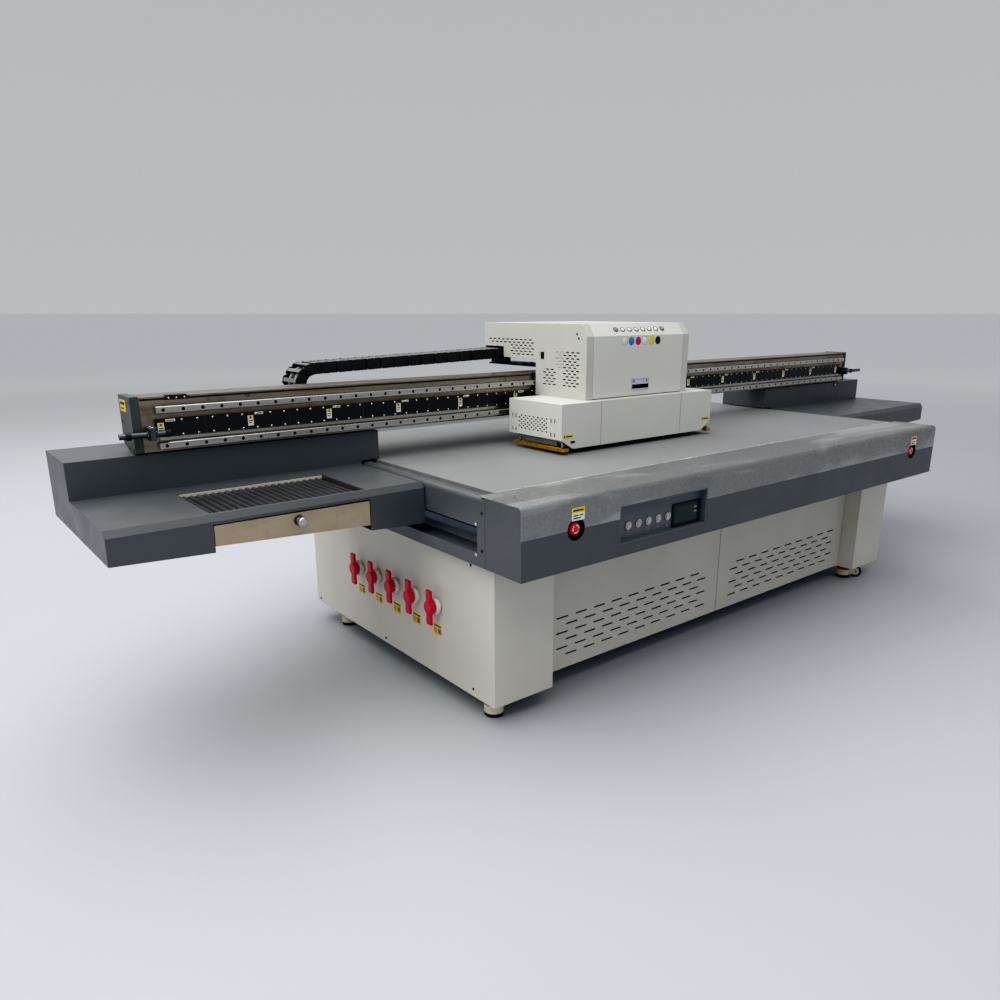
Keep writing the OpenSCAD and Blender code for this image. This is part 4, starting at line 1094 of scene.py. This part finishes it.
def add_valve_trim():
    """Raised wings and hub rim of the valve levers, each riding on its own lever."""
    for i, y in enumerate(VALVE_YS, 1):
        node = "valve_handle_%d" % i
        face = spans(node)[0][0]
        z = middle(spans(node)[2])
        shape = Shape("valve_trim_%d" % i)
        shape.at = facing((face, y, z), *LEFT)
        for sign in (-1, 1):
            outline = [(-0.0115, sign * 0.020), (0.0115, sign * 0.020), (0.0136, sign * 0.050),
                       (0.0095, sign * 0.0622), (-0.0095, sign * 0.0622), (-0.0136, sign * 0.050)]
            shape.prism(outline, "z", (-0.0035, -0.0012), "red")
        shape.lathe([(0.0232, -0.001), (0.0232, 0.0004), (0.0222, 0.0014), (0.0205, 0.0016),
                     (0.0196, 0.0008), (0.0120, 0.0012)], *OUT, "red", 40)
        shape.done(node, "valve_red")


def add_cabinet_labels():
    """Blank labels under the valves and over the emergency stops."""
    shape = Shape("cabinet_labels")
    for y in VALVE_YS:
        label(shape, facing((CABINET[0][0], y + 0.004, 0.249), *LEFT), (0.054, 0.042), "yellow",
              [(0.08, 0.76, 0.92, 0.9, "label_dark"), (0.08, 0.14, 0.46, 0.66, "label_orange"),
               (0.54, 0.14, 0.92, 0.66, "label_grey"), (0.66, 0.3, 0.8, 0.5, "label_red")])
    face = spans("edge_plate")[1][0]
    for x in STOP_XS:
        label(shape, facing((x + 0.007, face, 0.742), *FRONT), (0.054, 0.040), "label_white",
              [(0.0, 0.6, 1.0, 1.0, "yellow"), (0.1, 0.72, 0.9, 0.86, "label_dark"),
               (0.14, 0.34, 0.5, 0.44, "label_dark"), (0.58, 0.34, 0.86, 0.44, "label_dark"),
               (0.14, 0.14, 0.7, 0.24, "label_dark")])
    shape.done("table", "apron_paint")


def add_stop_arrows():
    """White turn arrows printed on the emergency stops."""
    sweep, point = 1.15, 1.62          # where each arrow's shaft ends and its tip lies, in radians
    for side, x in zip(("left", "right"), STOP_XS):
        face = spans("estop_" + side)[1][0]
        shape = Shape("stop_arrows_" + side)
        shape.at = facing((x, face, 0.695), *FRONT)
        for k in range(3):
            start = k * 2 * math.pi / 3
            arc = [start + sweep * t / 6 for t in range(7)]
            outline = [(0.0136 * math.cos(a), 0.0136 * math.sin(a)) for a in arc]
            outline += [(0.0108 * math.cos(a), 0.0108 * math.sin(a)) for a in reversed(arc)]
            shape.prism(outline, "z", (0, 0.0005), "label_white")
            tip = [(0.0094, start + sweep), (0.0150, start + sweep), (0.0122, start + point)]
            shape.prism([(r * math.cos(a), r * math.sin(a)) for r, a in tip], "z", (0, 0.0005),
                        "label_white")
        shape.done("estop_" + side, "estop_red")


def add_panel_face():
    """Display bezel, glass and keys, marks under the buttons, and screws of the sunken panel."""
    shape = Shape("panel_face")
    (x0, x1), (y0, _), (z0, z1) = spans("panel_display")
    rim = 0.012
    for x, z in (((x0, x1), (z0, z0 + rim)), ((x0, x1), (z1 - rim, z1)),
                 ((x0, x0 + rim), (z0 + rim, z1 - rim)), ((x1 - rim, x1), (z0 + rim, z1 - rim))):
        shape.box(x, (y0 - 0.0018, y0), z, "black", 0.0005)
    shape.box((x0 + rim, x1 - rim), (y0 - 0.0008, y0), (z0 + rim, z1 - rim), "screen")
    for z in (z1 - 0.026, z1 - 0.042):
        shape.box((x1 - 0.034, x1 - 0.020), (y0 - 0.0011, y0 - 0.0007), (z, z + 0.006), "cable_grey")
    face = spans("control_panel")[1][0] + 0.024        # the panel is sunk by 24 mm
    for i in range(5):
        x = middle(spans("panel_button_%d" % (i + 1))[0])
        for z, half in ((0.6365, 0.010), (0.6275, 0.007)):
            shape.box(about(x, half), (face - SKIN, face), about(z, 0.0018), "label_grey")
    screws(shape, product((-0.888, -0.640), (face,), (0.620, 0.720)), FRONT, 0.0034, "cable_grey",
           "black", 12)
    shape.done("table", "panel_plastic")


def add_button_domes():
    """Domed faces of the push buttons, each riding on its own button."""
    for i in range(1, 6):
        node = "panel_button_%d" % i
        (x0, x1), (y0, _), (z0, z1) = spans(node)
        shape = Shape("button_dome_%d" % i)
        shape.lathe([(0.0088, 0), (0.0086, 0.0008), (0.0070, 0.0017), (0.0040, 0.0024), (0.0008, 0.0026)],
                    (middle((x0, x1)), y0, middle((z0, z1))), (0, -1, 0), "nickel", 28)
        shape.done(node, "button_metal")


def add_cabinet_screws():
    """Screws of the cabinet panels, side covers and rear panel."""
    shape = Shape("cabinet_screws")
    for x, turn in zip(CABINET[0], (LEFT, RIGHT)):
        panel = ((0.617, 0.093), (-0.526, 0.102), (-0.520, 0.540), (0.617, 0.540), (0.05, 0.093))
        screws(shape, [(x, y, z) for y, z in panel], turn, 0.0048, "black", "black")
    covers = spans("side_covers")
    for x, turn in zip(covers[0], (LEFT, RIGHT)):
        screws(shape, ((x, -0.633, 0.742), (x, -0.633, 0.623)), turn, 0.0050, "black", "black")
        screws(shape, ((x, -0.603, 0.7015), (x, -0.603, 0.6035)), turn, 0.0046, "white_plastic",
               "dark_steel")
    back = spans("rear_panel")[1][0] + 0.003
    rear = product((-1.240, -0.620, 0.0, 0.720, 1.240), (back,), (0.100, 0.545))
    cover = product((-1.270, -0.640, 0.0, 0.640, 1.270), (covers[1][1],), (0.610,))
    for points in (rear, cover):
        screws(shape, points, BACK, 0.0048, "black", "black")
    shape.done("table", "cabinet_paint")


def add_platen_edge():
    """Sealant bead along the front joint, and the brackets seen in the gaps beside the platen."""
    shape = Shape("platen_edge")
    (x0, x1), (y0, y1), (_, top) = spans("platen")
    gap, parts, brackets = y0 - 0.002, 160, 12
    path = []
    for k in range(parts + 1):
        x = x0 + 0.004 + (x1 - x0 - 0.008) * k / parts
        wobble = noise.noise((x * 40, 3.1, 0.0))
        path.append((x, gap + 0.0006 * wobble, top - 0.0016 + 0.0008 * noise.noise((x * 55, 0, 7.7))))
    shape.tube(path, 0.0019, "sealant", 8)
    for sign in (-1, 1):
        edge = x0 if sign < 0 else x1
        shape.box(beyond(edge, sign, 0.001, 0.022), (y0 + 0.01, y1 - 0.01),
                  (top - 0.040, top - 0.034), "rubber", 0.001)
        for k in range(brackets):
            y = y0 + 0.06 + (y1 - y0 - 0.12) * k / (brackets - 1)
            shape.box(beyond(edge, sign, 0.002, 0.019), about(y, 0.014),
                      (top - 0.034, top - 0.014), "zinc", 0.0015)
    shape.done("table", "table_paint")


CASTER_TURNS = (30, -50, 30, -50)      # degrees that each caster is swivelled at rest
CASTERS = ((-1.205, -0.555), (1.100, -0.555), (-1.205, 0.480), (1.100, 0.480))


def add_hubcaps():
    """Ivory hubcaps and axle ends of the four caster wheels."""
    for i, turn in enumerate(CASTER_TURNS, 1):
        node = "caster_wheel_%d" % i
        low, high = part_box(node)
        centre = (low + high) / 2
        angle = math.radians(turn)
        axle = Vector((-math.sin(angle), math.cos(angle), 0))
        shape = Shape("hubcap_%d" % i)
        for sign in (-1, 1):
            shape.lathe([(0.018, 0), (0.0178, 0.0003), (0.013, 0.0006), (0.0045, 0.0006)],
                        centre + axle * sign * 0.011, axle * sign, "ivory", 28)
            shape.lathe([(0.0042, 0), (0.0042, 0.0012), (0.0034, 0.0018)],
                        centre + axle * sign * 0.0185, axle * sign, "dark_steel", 16)
        shape.done(node, "wheel_black")


def add_foot_details():
    """Grip ribs and dark bands of the levelling dials, and the rims of their pads."""
    shape = Shape("foot_details")
    grips = 20
    for x, y in CASTERS:
        for k in range(grips):
            angle = 2 * math.pi * k / grips
            shape.at = Matrix.Translation((x, y, 0.0)) @ Matrix.Rotation(angle, 4, "Z")
            shape.box((0.0275, 0.0302), (-0.0022, 0.0022), (0.0468, 0.0562), "dial_red", 0.0006)
        shape.at = HOME
        shape.ring((x, y, 0.0433), (0, 0, 1), 0.0225, 0.031, 0.0025, "black", 36)
        shape.ring((x, y, 0.0015), (0, 0, 1), 0.0300, 0.0335, 0.0035, "rubber", 40)
    shape.done("table", "foot_rubber")


def add_all_details():
    add_brow_lamps()
    add_ink_dots()
    add_cover_fittings()
    add_lower_cover_trim()
    add_crash_bar("left", -1)
    add_crash_bar("right", 1)
    add_louvre_screens()
    add_latch_grip()
    add_slider_screws()
    add_lamp_fittings()
    add_rail_screws()
    add_magnet_labels()
    add_beam_fittings()
    add_stop_fittings()
    add_wing_fittings()
    add_mat_ribs()
    add_knob_ring()
    add_valve_trim()
    add_cabinet_labels()
    add_stop_arrows()
    add_panel_face()
    add_button_domes()
    add_cabinet_screws()
    add_platen_edge()
    add_hubcaps()
    add_foot_details()


add_camera()
bpy.context.scene.view_settings.view_transform = "Khronos PBR Neutral"
add_world((0.56, 0.575, 0.595), (0.50, 0.51, 0.53), 0.95)
add_area_light("left", (-6.5, 0.6, 3.4), (0, 0, 0.8), (4, 3), 60, (1.0, 0.98, 0.95))
add_area_light("overhead", (-1.8, 0.6, 5.0), (-0.6, 0.1, 0.8), (10, 6), 500, (1.0, 0.985, 0.96))
add_floor()
dress_all()
add_chain()
add_all_details()

[[list(corner) for corner in box] for box in (cad_box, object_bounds())]
